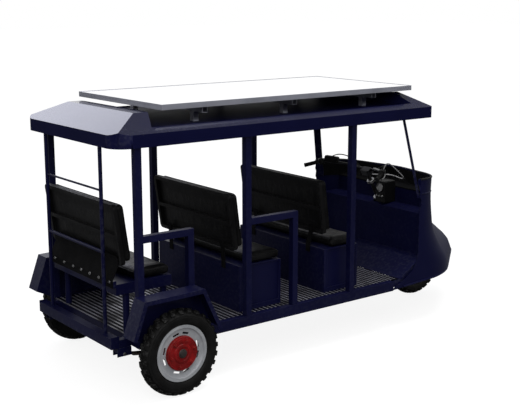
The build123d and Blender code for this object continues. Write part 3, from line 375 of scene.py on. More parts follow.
def rounded(form, width, segments=3, shortest=0.04, sharpest=25.0, steepest=1.1):
    # Rounds the long outer edges, as a rolled tube or a pressed sheet has them. Edges that rise by more than
    # the steepest share of their length stay as they are.
    edges = [edge for edge in form.edges if len(edge.link_faces) == 2 and edge.is_convex
             and edge.calc_length() > shortest and edge.calc_face_angle() > radians(sharpest)
             and abs(edge.verts[0].co.z - edge.verts[1].co.z) < steepest * edge.calc_length()]
    bmesh.ops.bevel(form, geom=edges, offset=width, offset_type="OFFSET", affect="EDGES", segments=segments,
                    profile=0.5, material=-1, clamp_overlap=True)
    return form


def from_cad(name, node, material, slot, width, segments=3, shortest=0.04, sharpest=25.0, steepest=1.1,
             body="vehicle", smooth=40.0):
    # A CAD node's form with its edges rounded, standing for that node.
    form = rounded(copied(node), width, segments, shortest, sharpest, steepest)
    finished(name, form, material, slot, node, body=body, smooth=smooth)


def refinish(node, material):
    # A CAD node that keeps its own form, with a better finish.
    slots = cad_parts[node].data.materials
    slots.clear()
    slots.append(material)


navy_paint = blue("navy_paint", 0.2, 0.008, 0.28, 0.09)
for node in ("chassis_rails", "cross_members", "rear_beam", "pillars", "side_guards", "roof_rails",
             "roof_bows"):
    from_cad(f"{node}_tube", node, navy_paint, "navy_paint", 0.004)

# Rear guard: two round uprights from the rear beam to the roof, a bar and a thin rod across, welded and
# sprayed with the frame. The toe board and the steering neck, inside the cowl, are sprayed matt.
inner_navy = blue("inner_navy", 0.1, 0.004, 0.47, 0.03)
for node in ("rear_guard", "windscreen_posts"):
    refinish(node, navy_paint)
for node in ("steering_neck", "toe_board"):
    refinish(node, inner_navy)

# Fenders, benches and seat boxes are folded from steel sheet, with rounded folds, and sprayed dark blue.
for node in ("fender_left", "fender_right", "rear_bench", "seat_boxes"):
    from_cad(f"{node}_sheet", node, navy_paint, "navy_paint", 0.0025, 2)

# Roof: one glass-fibre moulding with a raised crest, chamfered ends and a deep edge all round, gel-coated
# in the frame's blue and polished more than the steel.
DECK_HEIGHT = 1.700


def gel_coat():
    # The moulded colour under a clear gel coat, polished on the slopes. The tray's floor is left matt, and
    # the upright edge band is rubbed dull.
    material = blue("roof_gel", 0.1, 0.004, 0.47, 0.03, 0.00004)
    tree = material.node_tree
    shader = tree.nodes["Principled BSDF"]
    height = axes_of(tree, node_in(tree, "ShaderNodeTexCoord").outputs["Object"])["Z"]
    facing = axes_of(tree, node_in(tree, "ShaderNodeNewGeometry").outputs["True Normal"])["Z"]
    flat = ramp(tree, facing, 0.985, 0.995)
    raised = ramp(tree, height, DECK_HEIGHT + 0.010, DECK_HEIGHT + 0.030)
    deck = times(tree, flat, minus(tree, 1.0, raised))
    polished = times(tree, minus(tree, 1.0, deck), ramp(tree, facing, 0.02, 0.25))
    feed(shader, "Coat Weight", times(tree, polished, 0.9))
    shader.inputs["Coat Roughness"].default_value = 0.12
    return material


roof_gel = gel_coat()
from_cad("roof_moulding", "roof_shell", roof_gel, "navy_paint", 0.006, 3, 0.03, 18.0, 0.9, smooth=50.0)

# Solar panel: an aluminium frame round a glass front over pale cells, with a sheet behind them coloured
# near black as painted shade under the panel. It lies on cross bars that stand in the roof's tray.
FRAME_LIP = 0.011
CELL_PITCH = 0.159
CELL_GAP = 0.0035
BUSBARS = 3


def cube_between(form, low, high):
    # A box from its lowest to its highest corner.
    low, high = Vector(low), Vector(high)
    made = bmesh.ops.create_cube(form, size=1.0)
    bmesh.ops.scale(form, vec=high - low, verts=made["verts"])
    bmesh.ops.translate(form, vec=(high + low) / 2, verts=made["verts"])
    return made["verts"]


def metal(name, colour, dull, roughness, dust, scratches=(1, 1, 1)):
    material, tree, shader, place = start_material(name, roughness, metallic=1.0)
    grain = noise_node(tree, place, 160.0, 4.0, stretch=scratches)
    cloud = ramp(tree, noise_node(tree, place, 7.0, 5.0), 0.3, 0.75)
    colour, dirt = dusted(tree, place, mix_colour(tree, cloud, colour, dull), dust, 0.5)
    feed(shader, "Base Color", colour)
    rough = plus(tree, times(tree, grain, 0.25), roughness - 0.1)
    feed(shader, "Roughness", plus(tree, rough, times(tree, dirt, 0.4)))
    add_bump(tree, shader, grain, 0.0002, 0.4)
    return material


def cell_glass():
    material, tree, shader, place = start_material("panel_glass", 0.12, specular=0.6)
    shader.inputs["Coat Weight"].default_value = 1.0
    shader.inputs["Coat Roughness"].default_value = 0.05
    low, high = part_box("solar_panel")
    across = axes_of(tree, place)
    lines = []
    for axis, start in (("X", low.x), ("Y", low.y)):
        along = math_node(tree, "DIVIDE", minus(tree, across[axis], start), CELL_PITCH)
        off = math_node(tree, "ABSOLUTE", minus(tree, math_node(tree, "FRACT", along), 0.5))
        lines.append(ramp(tree, off, 0.5 - CELL_GAP / CELL_PITCH, 0.5))
        if axis == "Y":
            bars = math_node(tree, "FRACT", times(tree, along, float(BUSBARS)))
            bars = math_node(tree, "ABSOLUTE", minus(tree, bars, 0.5))
            lines.append(times(tree, ramp(tree, bars, 0.478, 0.49), 0.5))
    grid = math_node(tree, "MAXIMUM", math_node(tree, "MAXIMUM", lines[0], lines[1]), lines[2])
    crystal = noise_node(tree, place, 26.0, 5.0)
    cells = mix_colour(tree, crystal, (0.84, 0.85, 0.88), (0.89, 0.90, 0.92))
    feed(shader, "Base Color", mix_colour(tree, grid, cells, (0.9, 0.9, 0.9)))
    dirt = use_group(tree, "road_dust", place, Amount=0.35, Height=4.0)
    feed(shader, "Roughness", plus(tree, times(tree, dirt, 0.1), 0.06))
    return material


# A sheet on the panel's underside, coloured near black as painted shade for the dark gap under the panel.
def shade_back_sheet():
    material, tree, shader, place = start_material("shade_back_sheet", 0.6, specular=0.05)
    cloud = ramp(tree, noise_node(tree, place, 5.0, 4.0), 0.3, 0.7)
    feed(shader, "Base Color", mix_colour(tree, cloud, (0.003, 0.003, 0.003), (0.006, 0.006, 0.007)))
    add_bump(tree, shader, noise_node(tree, place, 240.0, 2.0), 0.0002, 0.4)
    return material


aluminium = metal("aluminium", (0.42, 0.43, 0.50), (0.34, 0.35, 0.41), 0.42, 0.05, (1, 12, 12))
panel_low, panel_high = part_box("solar_panel")
panel_frame = bmesh.new()
cube_between(panel_frame, panel_low, panel_high)
top = [face for face in panel_frame.faces if face.normal.z > 0.9]
bmesh.ops.inset_region(panel_frame, faces=top, thickness=FRAME_LIP, depth=0.0)
bmesh.ops.translate(panel_frame, vec=(0, 0, -0.003), verts=top[0].verts)
under = [face for face in panel_frame.faces if face.normal.z < -0.9]
bmesh.ops.inset_region(panel_frame, faces=under, thickness=0.028, depth=0.0)
bmesh.ops.translate(panel_frame, vec=(0, 0, 0.026), verts=under[0].verts)
finished("panel_frame", rounded(panel_frame, 0.0012, 2, 0.3), aluminium, "aluminium", "solar_panel")
# Sheets in the frame: name, bottom and top above the panel's underside, finish and slot
PANEL_THICK = panel_high.z - panel_low.z
for name, bottom, height, finish, slot in (
        ("panel_glass", 0.0285, PANEL_THICK - 0.0025, cell_glass(), "panel_glass"),
        ("panel_backing_shade", 0.012, 0.028, shade_back_sheet(), "black_plastic")):
    sheet = bmesh.new()
    cube_between(sheet, panel_low + Vector((FRAME_LIP, FRAME_LIP, bottom)),
                 (panel_high.x - FRAME_LIP, panel_high.y - FRAME_LIP, panel_low.z + height))
    finished(name, rounded(sheet, 0.0006, 1, 0.3), finish, slot)
from_cad("panel_cross_bars", "panel_bars", aluminium, "aluminium", 0.003, 2)

# Floor: one steel plate between the rails, pressed all over with small studs for grip. Shoes rub the tops
# of the studs bare, and their pale colour is also a painted highlight; dirt stays between them.
STUD_CELL = (0.018, 0.020)
STUD_SLOPE = 0.0046
STUD_HEIGHT = 0.0020
floor_low, floor_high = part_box("floor_plate")
floor_size = floor_high - floor_low


def plate_steel():
    material, tree, shader, place = start_material("mesh_floor", 0.6, specular=0.03)
    top = floor_high.z
    raised = ramp(tree, axes_of(tree, place)["Z"], top - STUD_HEIGHT * 0.5, top - 0.0001)
    rubbed = ramp(tree, noise_node(tree, place, 5.0, 5.0), 0.25, 0.6)
    # Stud tops: worn bare steel, coloured pale and bluish as a painted highlight as well.
    bright = times(tree, raised, rubbed)
    spots = ramp(tree, noise_node(tree, place, 30.0, 4.0), 0.3, 0.7)
    dark = mix_colour(tree, spots, (0.0025, 0.0025, 0.005), (0.006, 0.006, 0.010))
    dark = dusted(tree, place, dark, 0.02, 2.0)[0]
    feed(shader, "Base Color", mix_colour(tree, bright, dark, (0.42, 0.42, 0.47)))
    feed(shader, "Metallic", times(tree, bright, 0.8))
    feed(shader, "Roughness", minus(tree, 0.55, times(tree, bright, 0.25)))
    return material


plate = bmesh.new()
rows, columns = round(floor_size.x / STUD_CELL[0]), round(floor_size.y / STUD_CELL[1])
bmesh.ops.create_grid(plate, x_segments=rows, y_segments=columns, size=0.5)
bmesh.ops.scale(plate, vec=(floor_size.x, floor_size.y, 1), verts=plate.verts)
bmesh.ops.translate(plate, vec=((floor_low.x + floor_high.x) / 2, 0, floor_high.z - STUD_HEIGHT),
                    verts=plate.verts)
# Every second row across the vehicle carries studs
studs = [face for face in plate.faces
         if int((face.calc_center_median().x - floor_low.x) / floor_size.x * rows) % 2 == 0]
rim_edges = [edge for edge in plate.edges if edge.is_boundary]
bmesh.ops.inset_individual(plate, faces=studs, thickness=STUD_SLOPE, depth=STUD_HEIGHT)
skirt = bmesh.ops.extrude_edge_only(plate, edges=rim_edges)
lower = [item for item in skirt["geom"] if isinstance(item, bmesh.types.BMVert)]
bmesh.ops.translate(plate, vec=(0, 0, floor_low.z - floor_high.z + STUD_HEIGHT), verts=lower)
bmesh.ops.contextual_create(plate, geom=[item for item in skirt["geom"]
                                         if isinstance(item, bmesh.types.BMEdge) and item.is_boundary])
finished("floor_studded", plate, plate_steel(), "mesh_floor", "floor_plate", smooth=20.0)

# Cushions and backrest pads: foam in black vinyl, crowned by the filling and drawn in along the edges,
# with a piped seam round each. The backs are clipped to pressed shells of black plastic.
VOXEL = 0.011
CLOTH_FRAMES = 20
PAD_SHRINK = 0.006
PAD_SIZE = Vector((0.066, 0.928, 0.388))
PIPING = 0.0036
SEAM_STEP = 0.035
PAD_ROUND = 0.020
PAD_TILT = radians(-7.8)
DRAWN_IN = 0.45


def vinyl():
    material, tree, shader, place = start_material("seat_vinyl", 0.42, specular=0.12)
    pebble = node_in(tree, "ShaderNodeTexVoronoi", feature="DISTANCE_TO_EDGE")
    pebble.inputs["Scale"].default_value = 420.0
    tree.links.new(place, pebble.inputs["Vector"])
    grain = ramp(tree, pebble.outputs["Distance"], 0.0, 0.25)
    creases = ramp(tree, noise_node(tree, place, 10.0, 5.0, stretch=(1, 2.4, 1)), 0.42, 0.62)
    # The colour follows the creases' bump and is darker in their hollows: painted shade.
    shade = mix_colour(tree, creases, (0.0022, 0.0022, 0.0026), (0.0048, 0.0048, 0.0052))
    feed(shader, "Base Color", dusted(tree, place, shade, 0.012, 3.0)[0])
    feed(shader, "Roughness", plus(tree, times(tree, creases, 0.12), 0.36))
    add_bump(tree, shader, plus(tree, times(tree, grain, 0.12), creases), 0.0011, 0.6)
    return material


def evaluated(piece):
    # The piece's mesh as its modifiers leave it.
    bpy.context.view_layer.update()
    return bpy.data.meshes.new_from_object(piece.evaluated_get(bpy.context.evaluated_depsgraph_get()))


def swell(piece, most):
    # Remeshes a pad, fills it under pressure as cloth, and keeps each point within a distance of its start,
    # with less room inwards than outwards.
    remesh = piece.modifiers.new("remesh", "REMESH")
    remesh.mode = "VOXEL"
    remesh.voxel_size = VOXEL
    start = evaluated(piece)
    piece.modifiers.clear()
    piece.data = start
    rest = [(vertex.co.copy(), vertex.normal.copy()) for vertex in start.vertices]
    cloth = piece.modifiers.new("cloth", "CLOTH")
    cloth.settings.quality = 5
    cloth.settings.mass = 0.35
    cloth.settings.tension_stiffness = 18
    cloth.settings.compression_stiffness = 18
    cloth.settings.bending_stiffness = 1.5
    cloth.settings.use_pressure = True
    cloth.settings.uniform_pressure_force = 4.0
    cloth.settings.effector_weights.gravity = 0.0
    cloth.point_cache.frame_start = 1
    cloth.point_cache.frame_end = CLOTH_FRAMES
    for number in range(1, CLOTH_FRAMES + 1):
        scene.frame_set(number)
    puffed = evaluated(piece)
    piece.modifiers.clear()
    for vertex, (home, outwards) in zip(puffed.vertices, rest):
        shift = vertex.co - home
        room = most if shift.dot(outwards) > 0 else most * DRAWN_IN
        if shift.length > room:
            vertex.co = home + shift.normalized() * room
    piece.data = puffed
    scene.frame_set(1)


def padding(name, node, tilt, most):
    # The block is drawn upright about its own middle, then leaned and moved to the middle of its CAD solid.
    low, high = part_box(node)
    middle = (low + high) / 2
    form = bmesh.new()
    size = PAD_SIZE if tilt else high - low
    half = size / 2 - Vector((PAD_SHRINK, PAD_SHRINK, PAD_SHRINK))
    cube_between(form, -half, half)
    bmesh.ops.bevel(form, geom=form.edges[:], offset=PAD_ROUND, offset_type="OFFSET", affect="EDGES",
                    segments=3, profile=0.5, material=-1, clamp_overlap=True)
    turn = Matrix.Translation(middle) @ Matrix.Rotation(tilt, 4, "Y")
    mesh = bpy.data.meshes.new(name)
    form.to_mesh(mesh)
    form.free()
    piece = bpy.data.objects.new(name, mesh)
    scene.collection.objects.link(piece)
    swell(piece, most)
    piece.data.transform(turn)
    soft = bmesh.new()
    soft.from_mesh(piece.data)
    bmesh.ops.smooth_vert(soft, verts=soft.verts, factor=0.5, use_axis_x=True, use_axis_y=True,
                          use_axis_z=True)
    skin = BVHTree.FromBMesh(soft)
    bpy.data.objects.remove(piece)
    padded = finished(name, soft, seat_vinyl, "seat_leather", node, smooth=70.0)
    finer = padded.modifiers.new("finer", "SUBSURF")
    finer.levels = finer.render_levels = 1
    return turn, half, skin


def cord(name, points, radius, material, slot, body="vehicle", closed=False):
    # A round bead, welt, wire or rod along a row of points.
    curve = bpy.data.curves.new(name, "CURVE")
    curve.dimensions = "3D"
    curve.bevel_depth = radius
    curve.bevel_resolution = 2 if closed else 3
    curve.resolution_u = 6 if closed else 12
    curve.use_fill_caps = not closed
    spline = curve.splines.new("NURBS")
    spline.points.add(len(points) - 1)
    for point, place in zip(spline.points, points):
        point.co = (*place, 1)
    spline.use_cyclic_u = closed
    spline.order_u = 3
    spline.use_endpoint_u = not closed
    holder = bpy.data.objects.new(name, curve)
    scene.collection.objects.link(holder)
    form = bmesh.new()
    form.from_mesh(evaluated(holder))
    bpy.data.objects.remove(holder)
    finished(name, form, material, slot, body=body, smooth=60.0)


def piped_seam(name, corners, turn, skin):
    # A welt along a closed loop of points, half sunk in the pad's skin.
    seam = []
    for start, end in zip(corners, corners[1:] + corners[:1]):
        start, end = Vector(start), Vector(end)
        steps = max(1, round((end - start).length / SEAM_STEP))
        seam += [skin.find_nearest(turn @ start.lerp(end, step / steps))[0] for step in range(steps)]
    cord(name, seam, PIPING, seat_vinyl, "seat_leather", closed=True)


def rounded_loop(half_a, half_b, corner):
    # Control points of a rectangle with rounded corners, close together at the corners.
    points = []
    for sign_a, sign_b in ((1, 1), (-1, 1), (-1, -1), (1, -1)):
        near_a, near_b = (half_a - corner) * sign_a, (half_b - corner) * sign_b
        far_a, far_b = half_a * sign_a, half_b * sign_b
        corner_points = [(far_a, near_b), (far_a, far_b), (near_a, far_b)]
        points += corner_points if sign_a * sign_b > 0 else corner_points[::-1]
    return points


seat_vinyl = vinyl()
for place in ("rear", "middle", "front"):
    turn, half, skin = padding(f"seat_{place}", f"cushion_{place}", 0.0, 0.009)
    outline = rounded_loop(half.x + 0.002, half.y + 0.002, 0.03)
    piped_seam(f"seat_{place}_piping", [(x, y, half.z - 0.012) for x, y in outline], turn, skin)
    turn, half, skin = padding(f"back_{place}", f"backrest_pad_{place}", PAD_TILT, 0.010)
    outline = rounded_loop(half.y + 0.002, half.z + 0.002, 0.03)
    piped_seam(f"back_{place}_piping", [(half.x - 0.012, y, z) for y, z in outline], turn, skin)


def plastic(name, colour, pale, roughness=0.5, specular=0.12):
    rubbed = tuple(min(1.0, part * 4 + 0.01) for part in pale)
    return coated(name, colour, pale, roughness - 0.1, specular, (0.35, 60.0, rubbed), (0.03, 0.9),
                  (900.0, 20.0, 0.8, 0.0003, 0.5), (12.0, 4.0, 0.3, 0.7), dulled=0.0, uneven=(22.0, 3.0, 0.2))


black_plastic = plastic("black_plastic", (0.0028, 0.0028, 0.0032), (0.005, 0.005, 0.0055))
matt_black = plastic("matt_black", (0.0022, 0.0022, 0.0026), (0.004, 0.004, 0.0046), 0.75, 0.05)
from_cad("backrest_irons", "backrest_strips", matt_black, "black_steel", 0.0015, 2, 0.02)
from_cad("backrest_backs", "backrest_shells", black_plastic, "black_plastic", 0.004, 3, 0.02)
from_cad("battery_case", "battery_pack", black_plastic, "battery_plastic", 0.008)

# Cowl: one glass-fibre moulding round the driver's feet, narrow at the waist and swept out over the front
# wheel, with a rolled bead along its lower edge and a rubber edging round its rim.
REAR_AXLE = -1.37925
COWL_WALL = 0.004
COWL_HALF = 0.600
RIM_LINE = ((2.230, 1.138), (3.300, 1.078))
LIP_LINE = ((1.975, 0.312), (3.300, 0.382))
SIDE_REAR = 2.230
SIDE_SWEEP = (0.255, 0.210)
SWEEP_TOP = 0.562

# Section: height, end of the straight side, corner radius, nose and nose radius, ahead of the rear axle
COWL_SECTIONS = (
    (1.160, 2.233, 0.300, 2.572, 0.560),
    (1.075, 2.2305, 0.300, 2.5885, 0.490),
    (0.990, 2.228, 0.300, 2.605, 0.420),
    (0.900, 2.235, 0.301, 2.643, 0.340),
    (0.800, 2.243, 0.312, 2.712, 0.280),
    (0.708, 2.254, 0.335, 2.812, 0.240),
    (0.630, 2.276, 0.375, 2.918, 0.228),
    (0.563, 2.302, 0.420, 3.006, 0.225),
    (0.500, 2.336, 0.462, 3.082, 0.232),
    (0.430, 2.366, 0.492, 3.132, 0.240),
    (0.370, 2.376, 0.500, 3.1485, 0.244),
    (0.325, 2.376, 0.500, 3.1485, 0.244),
    (0.280, 2.376, 0.500, 3.1485, 0.244),
)


def line_height(line, x):
    (x0, z0), (x1, z1) = line
    return z0 + (z1 - z0) * (x - x0) / (x1 - x0)


def side_rear(z):
    # The rear edge stands upright above the sweep and curves back to the rail below it.
    drop = min(max((SWEEP_TOP - z) / SIDE_SWEEP[1], 0.0), 1.0)
    return SIDE_REAR - SIDE_SWEEP[0] * (1 - sqrt(1 - drop * drop))


def cowl_half_loop(section):
    # Points (x, y) from the left rear edge to the middle of the nose.
    z, side_end, corner, nose, nose_radius = section
    centre = (side_end, COWL_HALF - corner)
    nose_centre = nose - nose_radius
    dx, dy = centre[0] - nose_centre, centre[1]
    turn = atan2(dy, dx) - acos((nose_radius - corner) / sqrt(dx * dx + dy * dy))
    rear = side_rear(z)
    points = [(rear + (side_end - rear) * step / 4, COWL_HALF) for step in range(4)]
    for step in range(9):
        angle = radians(90) + (turn - radians(90)) * step / 8
        points.append((centre[0] + corner * cos(angle), centre[1] + corner * sin(angle)))
    first, last = points[-1], (nose_centre + nose_radius * cos(turn), nose_radius * sin(turn))
    points += [(first[0] + (last[0] - first[0]) * step / 4, first[1] + (last[1] - first[1]) * step / 4)
               for step in range(1, 4)]
    for step in range(7):
        angle = turn * (1 - step / 6)
        points.append((nose_centre + nose_radius * cos(angle), nose_radius * sin(angle)))
    return points


def cowl_loop(section):
    half = cowl_half_loop(section)
    return half + [(x, -y) for x, y in reversed(half[:-1])]


def lofted_strip(sections):
    # One row of points is drawn out again and again, each time set to the next section.
    form = bmesh.new()
    row = [form.verts.new((REAR_AXLE + x, y, sections[0][0])) for x, y in cowl_loop(sections[0])]
    chain = [form.edges.new(pair) for pair in zip(row, row[1:])]
    for section in sections[1:]:
        grown = bmesh.ops.extrude_edge_only(form, edges=chain)["geom"]
        chain = [item for item in grown if isinstance(item, bmesh.types.BMEdge)]
        for vert, (x, y) in zip(ordered_row(chain), cowl_loop(section)):
            vert.co = (REAR_AXLE + x, y, section[0])
    return form


def ordered_row(chain):
    # The points of an open chain of edges, from its left end to its right end.
    ends = {}
    for edge in chain:
        for vert in edge.verts:
            ends.setdefault(vert, []).append(edge)
    start = max((vert for vert, edges in ends.items() if len(edges) == 1), key=lambda vert: vert.co.y)
    row, used = [start], set()
    while len(row) < len(ends):
        edge = [edge for edge in ends[row[-1]] if edge not in used][0]
        used.add(edge)
        row.append(edge.other_vert(row[-1]))
    return row


cowl = lofted_strip(COWL_SECTIONS)
bmesh.ops.subdivide_edges(cowl, edges=cowl.edges[:], cuts=1, smooth=1.0, use_grid_fill=True)
for line, up in ((RIM_LINE, 1), (LIP_LINE, -1)):
    (x0, z0), (x1, z1) = line
    normal = Vector((-(z1 - z0), 0, x1 - x0)).normalized() * up
    bmesh.ops.bisect_plane(cowl, geom=cowl.verts[:] + cowl.edges[:] + cowl.faces[:],
                           plane_co=(REAR_AXLE + x0, 0, z0), plane_no=normal, clear_outer=True)
bmesh.ops.recalc_face_normals(cowl, faces=cowl.faces)
inside = Vector((0.75, 0, 0.7))
if sum(face.normal.dot(face.calc_center_median() - inside) for face in cowl.faces) < 0:
    bmesh.ops.reverse_faces(cowl, faces=cowl.faces)
bmesh.ops.solidify(cowl, geom=cowl.faces[:], thickness=COWL_WALL)
cowl_gel = blue("cowl_gel", 0.2, 0.008, 0.34, 0.05)
finished("cowl_moulding", cowl, cowl_gel, "navy_paint", "front_cowl", smooth=35.0)


def rim_loop(line, section, rise):
    return [(REAR_AXLE + x, y, line_height(line, x) + rise) for x, y in cowl_loop(section)]


rubber = plastic("edge_rubber", (0.004, 0.004, 0.004), (0.008, 0.008, 0.008), 0.6, 0.15)
cord("cowl_rim_edging", rim_loop(RIM_LINE, COWL_SECTIONS[1], -0.004), 0.0075, rubber, "black_plastic")
cord("cowl_lip_bead", rim_loop(LIP_LINE, COWL_SECTIONS[10], 0.006), 0.008, cowl_gel, "navy_paint")
cord("cowl_collar", rim_loop(RIM_LINE, COWL_SECTIONS[2], -0.115), 0.0055, cowl_gel, "navy_paint")

# Sheets that close the sides of the sloping toe board, between the rail's end and the cowl's rear edge.
RAMP_SIDE = ((0.604, 0.384), (0.676, 0.388), (0.864, 0.511), (0.900, 0.511), (0.900, 0.330), (0.604, 0.330))
RAMP_SIDE_Y = 0.5885
RAMP_SIDE_SHEET = 0.002
ramp_sides = bmesh.new()
for side in (-1, 1):
    outer = ramp_sides.faces.new([ramp_sides.verts.new((x, side * RAMP_SIDE_Y, z)) for x, z in RAMP_SIDE])
    grown = bmesh.ops.extrude_face_region(ramp_sides, geom=[outer])["geom"]
    bmesh.ops.translate(ramp_sides, vec=(0, -side * RAMP_SIDE_SHEET, 0),
                        verts=[item for item in grown if isinstance(item, bmesh.types.BMVert)])
finished("ramp_sides", ramp_sides, navy_paint, "navy_paint")

# Tyres: cross-ply rubber with a rounded carcass, ribs on the side wall and tall blocks over the shoulders,
# long and short by turns, with a zigzag of blocks along the middle.
TYRE_RADIUS = 0.285
CROWN_CURVE = 0.075
TREAD_DEPTH = 0.010
SHOULDER_BLOCKS = 28
TYRE_STEPS = 112


def spun_round(form, profile, centre, steps, axis=(0, 1, 0)):
    # The profile is (radius, offset along the axis) points, closed, and turned once round the axis.
    along = Vector(axis).normalized()
    out = along.orthogonal().normalized()
    verts = [form.verts.new(Vector(centre) + along * offset + out * radius) for radius, offset in profile]
    edges = [form.edges.new((verts[place], verts[(place + 1) % len(verts)])) for place in range(len(verts))]
    bmesh.ops.spin(form, geom=verts + edges, cent=centre, axis=along, angle=2 * pi, steps=steps,
                   use_merge=True)
    bmesh.ops.remove_doubles(form, verts=form.verts, dist=0.00001)


def tread_point(angle, across, depth):
    # A point on the crown: angle round the axle, angle across the crown, and depth below the blocks' tops.
    radius = TYRE_RADIUS - CROWN_CURVE * (1 - cos(across)) - depth * cos(across)
    offset = (CROWN_CURVE - depth) * sin(across)
    return Vector((radius * sin(angle), offset, radius * cos(angle)))


def tread_block(form, centre, start, end, across_start, across_end, lean, width_scale):
    # A block between two angles round the tyre and two across it, slanted and narrower at its top.
    block = bmesh.new()
    cube_between(block, (-0.5, -0.5, 0), (0.5, 0.5, 1))
    crossing = [edge for edge in block.edges if abs(edge.verts[0].co.y - edge.verts[1].co.y) > 0.5]
    bmesh.ops.subdivide_edges(block, edges=crossing, cuts=2, use_grid_fill=True)
    for vert in block.verts:
        u, v, w = vert.co
        across = across_start + (across_end - across_start) * (v * (1 - 0.06 * w) + 0.5)
        angle = (start + end) / 2 + (end - start) * u * (1 - 0.16 * w) + lean * (v + 0.5)
        place = tread_point(angle, across, TREAD_DEPTH * 1.25 * (1 - w))
        vert.co = Vector((centre[0] + place.x, centre[1] + place.y * width_scale, centre[2] + place.z))
    bmesh.ops.recalc_face_normals(block, faces=block.faces)
    shape = bpy.data.meshes.new("tread_block")
    block.to_mesh(shape)
    block.free()
    form.from_mesh(shape)
    bpy.data.meshes.remove(shape)


def tyre(name, node, body, centre, half_width):
    scale = half_width / 0.053
    form = bmesh.new()
    groove = [(tread_point(0.0, across, TREAD_DEPTH).z, tread_point(0.0, across, TREAD_DEPTH).y * scale)
              for across in (radians(step) for step in (-44, -33, -22, -11, 0, 11, 22, 33, 44))]
    right = [(0.1703, -0.0295), (0.188, -0.0300), (0.1925, -0.0385 * scale), (0.2000, -0.0440 * scale),
             (0.2015, -0.0462 * scale), (0.2050, -0.0462 * scale), (0.2065, -0.0480 * scale),
             (0.2180, -0.0515 * scale), (0.2280, -0.0528 * scale), (0.2380, -0.0525 * scale),
             (0.2395, -0.0508 * scale), (0.2425, -0.0508 * scale), (0.2440, -0.0518 * scale),
             (0.2520, -0.0500 * scale)]
    left = [(radius, -offset) for radius, offset in reversed(right)]
    spun_round(form, right + groove + left, centre, TYRE_STEPS)
    pitch = 2 * pi / SHOULDER_BLOCKS
    for number in range(SHOULDER_BLOCKS):
        long_block = number % 2 == 0
        for side in (-1, 1):
            at = pitch * (number + (0.5 if side > 0 else 0.0))
            inner, outer = radians(13 if long_block else 19), radians(43 if long_block else 39)
            spread = pitch * (0.30 if long_block else 0.26)
            tread_block(form, centre, at - spread, at + spread, side * inner, side * outer, -0.02, scale)
        at = pitch * (number + 0.25)
        tread_block(form, centre, at - pitch * 0.33, at + pitch * 0.33, radians(-9), radians(9), 0.05, scale)
    finished(name, form, rubber_finish, "tyre", node, body=body, smooth=32.0)


rubber_finish = coated("tyre_rubber", (0.0035, 0.0035, 0.0036), (0.0075, 0.0075, 0.0078), 0.5, 0.1,
                       (0.7, 90.0, (0.04, 0.04, 0.04)), (0.05, 0.8), (800.0, 60.0, 0.6, 0.0004, 0.6),
                       (14.0, 5.0, 0.35, 0.7))
WHEELS = {name: (REAR_AXLE + 2.810 * (name == "front"), side * 0.678, TYRE_RADIUS)
          for name, side in (("rear_right", -1), ("rear_left", 1), ("front", 0))}
for name, centre in WHEELS.items():
    low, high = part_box(f"tyre_{name}")
    tyre(f"tyre_{name}_blocks", f"tyre_{name}", f"wheel_{name}", centre, (high.y - low.y) / 2)

# Wheels: rims rolled and pressed from steel sheet, sprayed silver grey, on red hubs with six nuts, a
# stepped face turned on a lathe and a dull cap over the axle's end.
NUTS = 6
NUT_RING = 0.088
HUB_RADIUS = 0.114
HUB_FACE = 0.0320
# Steps of the disc and of the cap over the axle: radius and height above the hub's face
DISC_STEPS = ((0.0, 0.0005), (HUB_RADIUS - 0.0025, 0.0005), (HUB_RADIUS - 0.0025, 0.0095), (0.1065, 0.0125),
              (0.1045, 0.0105), (0.0985, 0.0105), (0.0965, 0.0125), (0.0780, 0.0130), (0.0720, 0.0100),
              (0.0640, 0.0100), (0.0600, 0.0145), (0.0470, 0.0160), (0.0440, 0.0120), (0.0360, 0.0120),
              (0.0, 0.0120))
CAP_STEPS = ((0.0, 0.008), (0.0300, 0.008), (0.0300, 0.0140), (0.0265, 0.0170), (0.0235, 0.0175),
             (0.0225, 0.0215), (0.0190, 0.0228), (0.0, 0.0230))

red = coated("hub_red", (0.14, 0.0035, 0.004), (0.27, 0.007, 0.008), 0.34, 0.15,
             (0.5, 120.0, (0.25, 0.06, 0.05)), (0.06, 0.8), (500.0, 40.0, 0.5, 0.0004, 0.5),
             (20.0, 5.0, 0.3, 0.7))
silver = coated("rim_grey", (0.33, 0.345, 0.37), (0.42, 0.435, 0.46), 0.36, 0.35,
                (0.4, 80.0, (0.5, 0.5, 0.5)), (0.12, 0.7), (600.0, 30.0, 0.3, 0.0003, 0.4),
                (10.0, 5.0, 0.3, 0.7), metallic=0.15)
dull_steel = metal("dull_steel", (0.075, 0.065, 0.062), (0.045, 0.040, 0.038), 0.5, 0.1)
bright_steel = metal("plated_steel", (0.42, 0.42, 0.42), (0.25, 0.25, 0.26), 0.35, 0.2)


def turned(name, profile, centre, steps, material, slot, *nodes, axis=(0, 1, 0), body="vehicle", smooth=30.0):
    # A piece turned on a lathe.
    form = bmesh.new()
    spun_round(form, profile, centre, steps, axis)
    finished(name, form, material, slot, *nodes, body=body, smooth=smooth)


def cone(form, segments, radius, taper, height, sunk, turn):
    # A nut, stud, washer or bolt head on its foot, sunk a little and then turned into its place.
    made = bmesh.ops.create_cone(form, cap_ends=True, segments=segments, radius1=radius,
                                 radius2=radius * taper, depth=height)
    bmesh.ops.translate(form, vec=(0, 0, height / 2 - sunk), verts=made["verts"])
    bmesh.ops.transform(form, matrix=turn, verts=made["verts"])


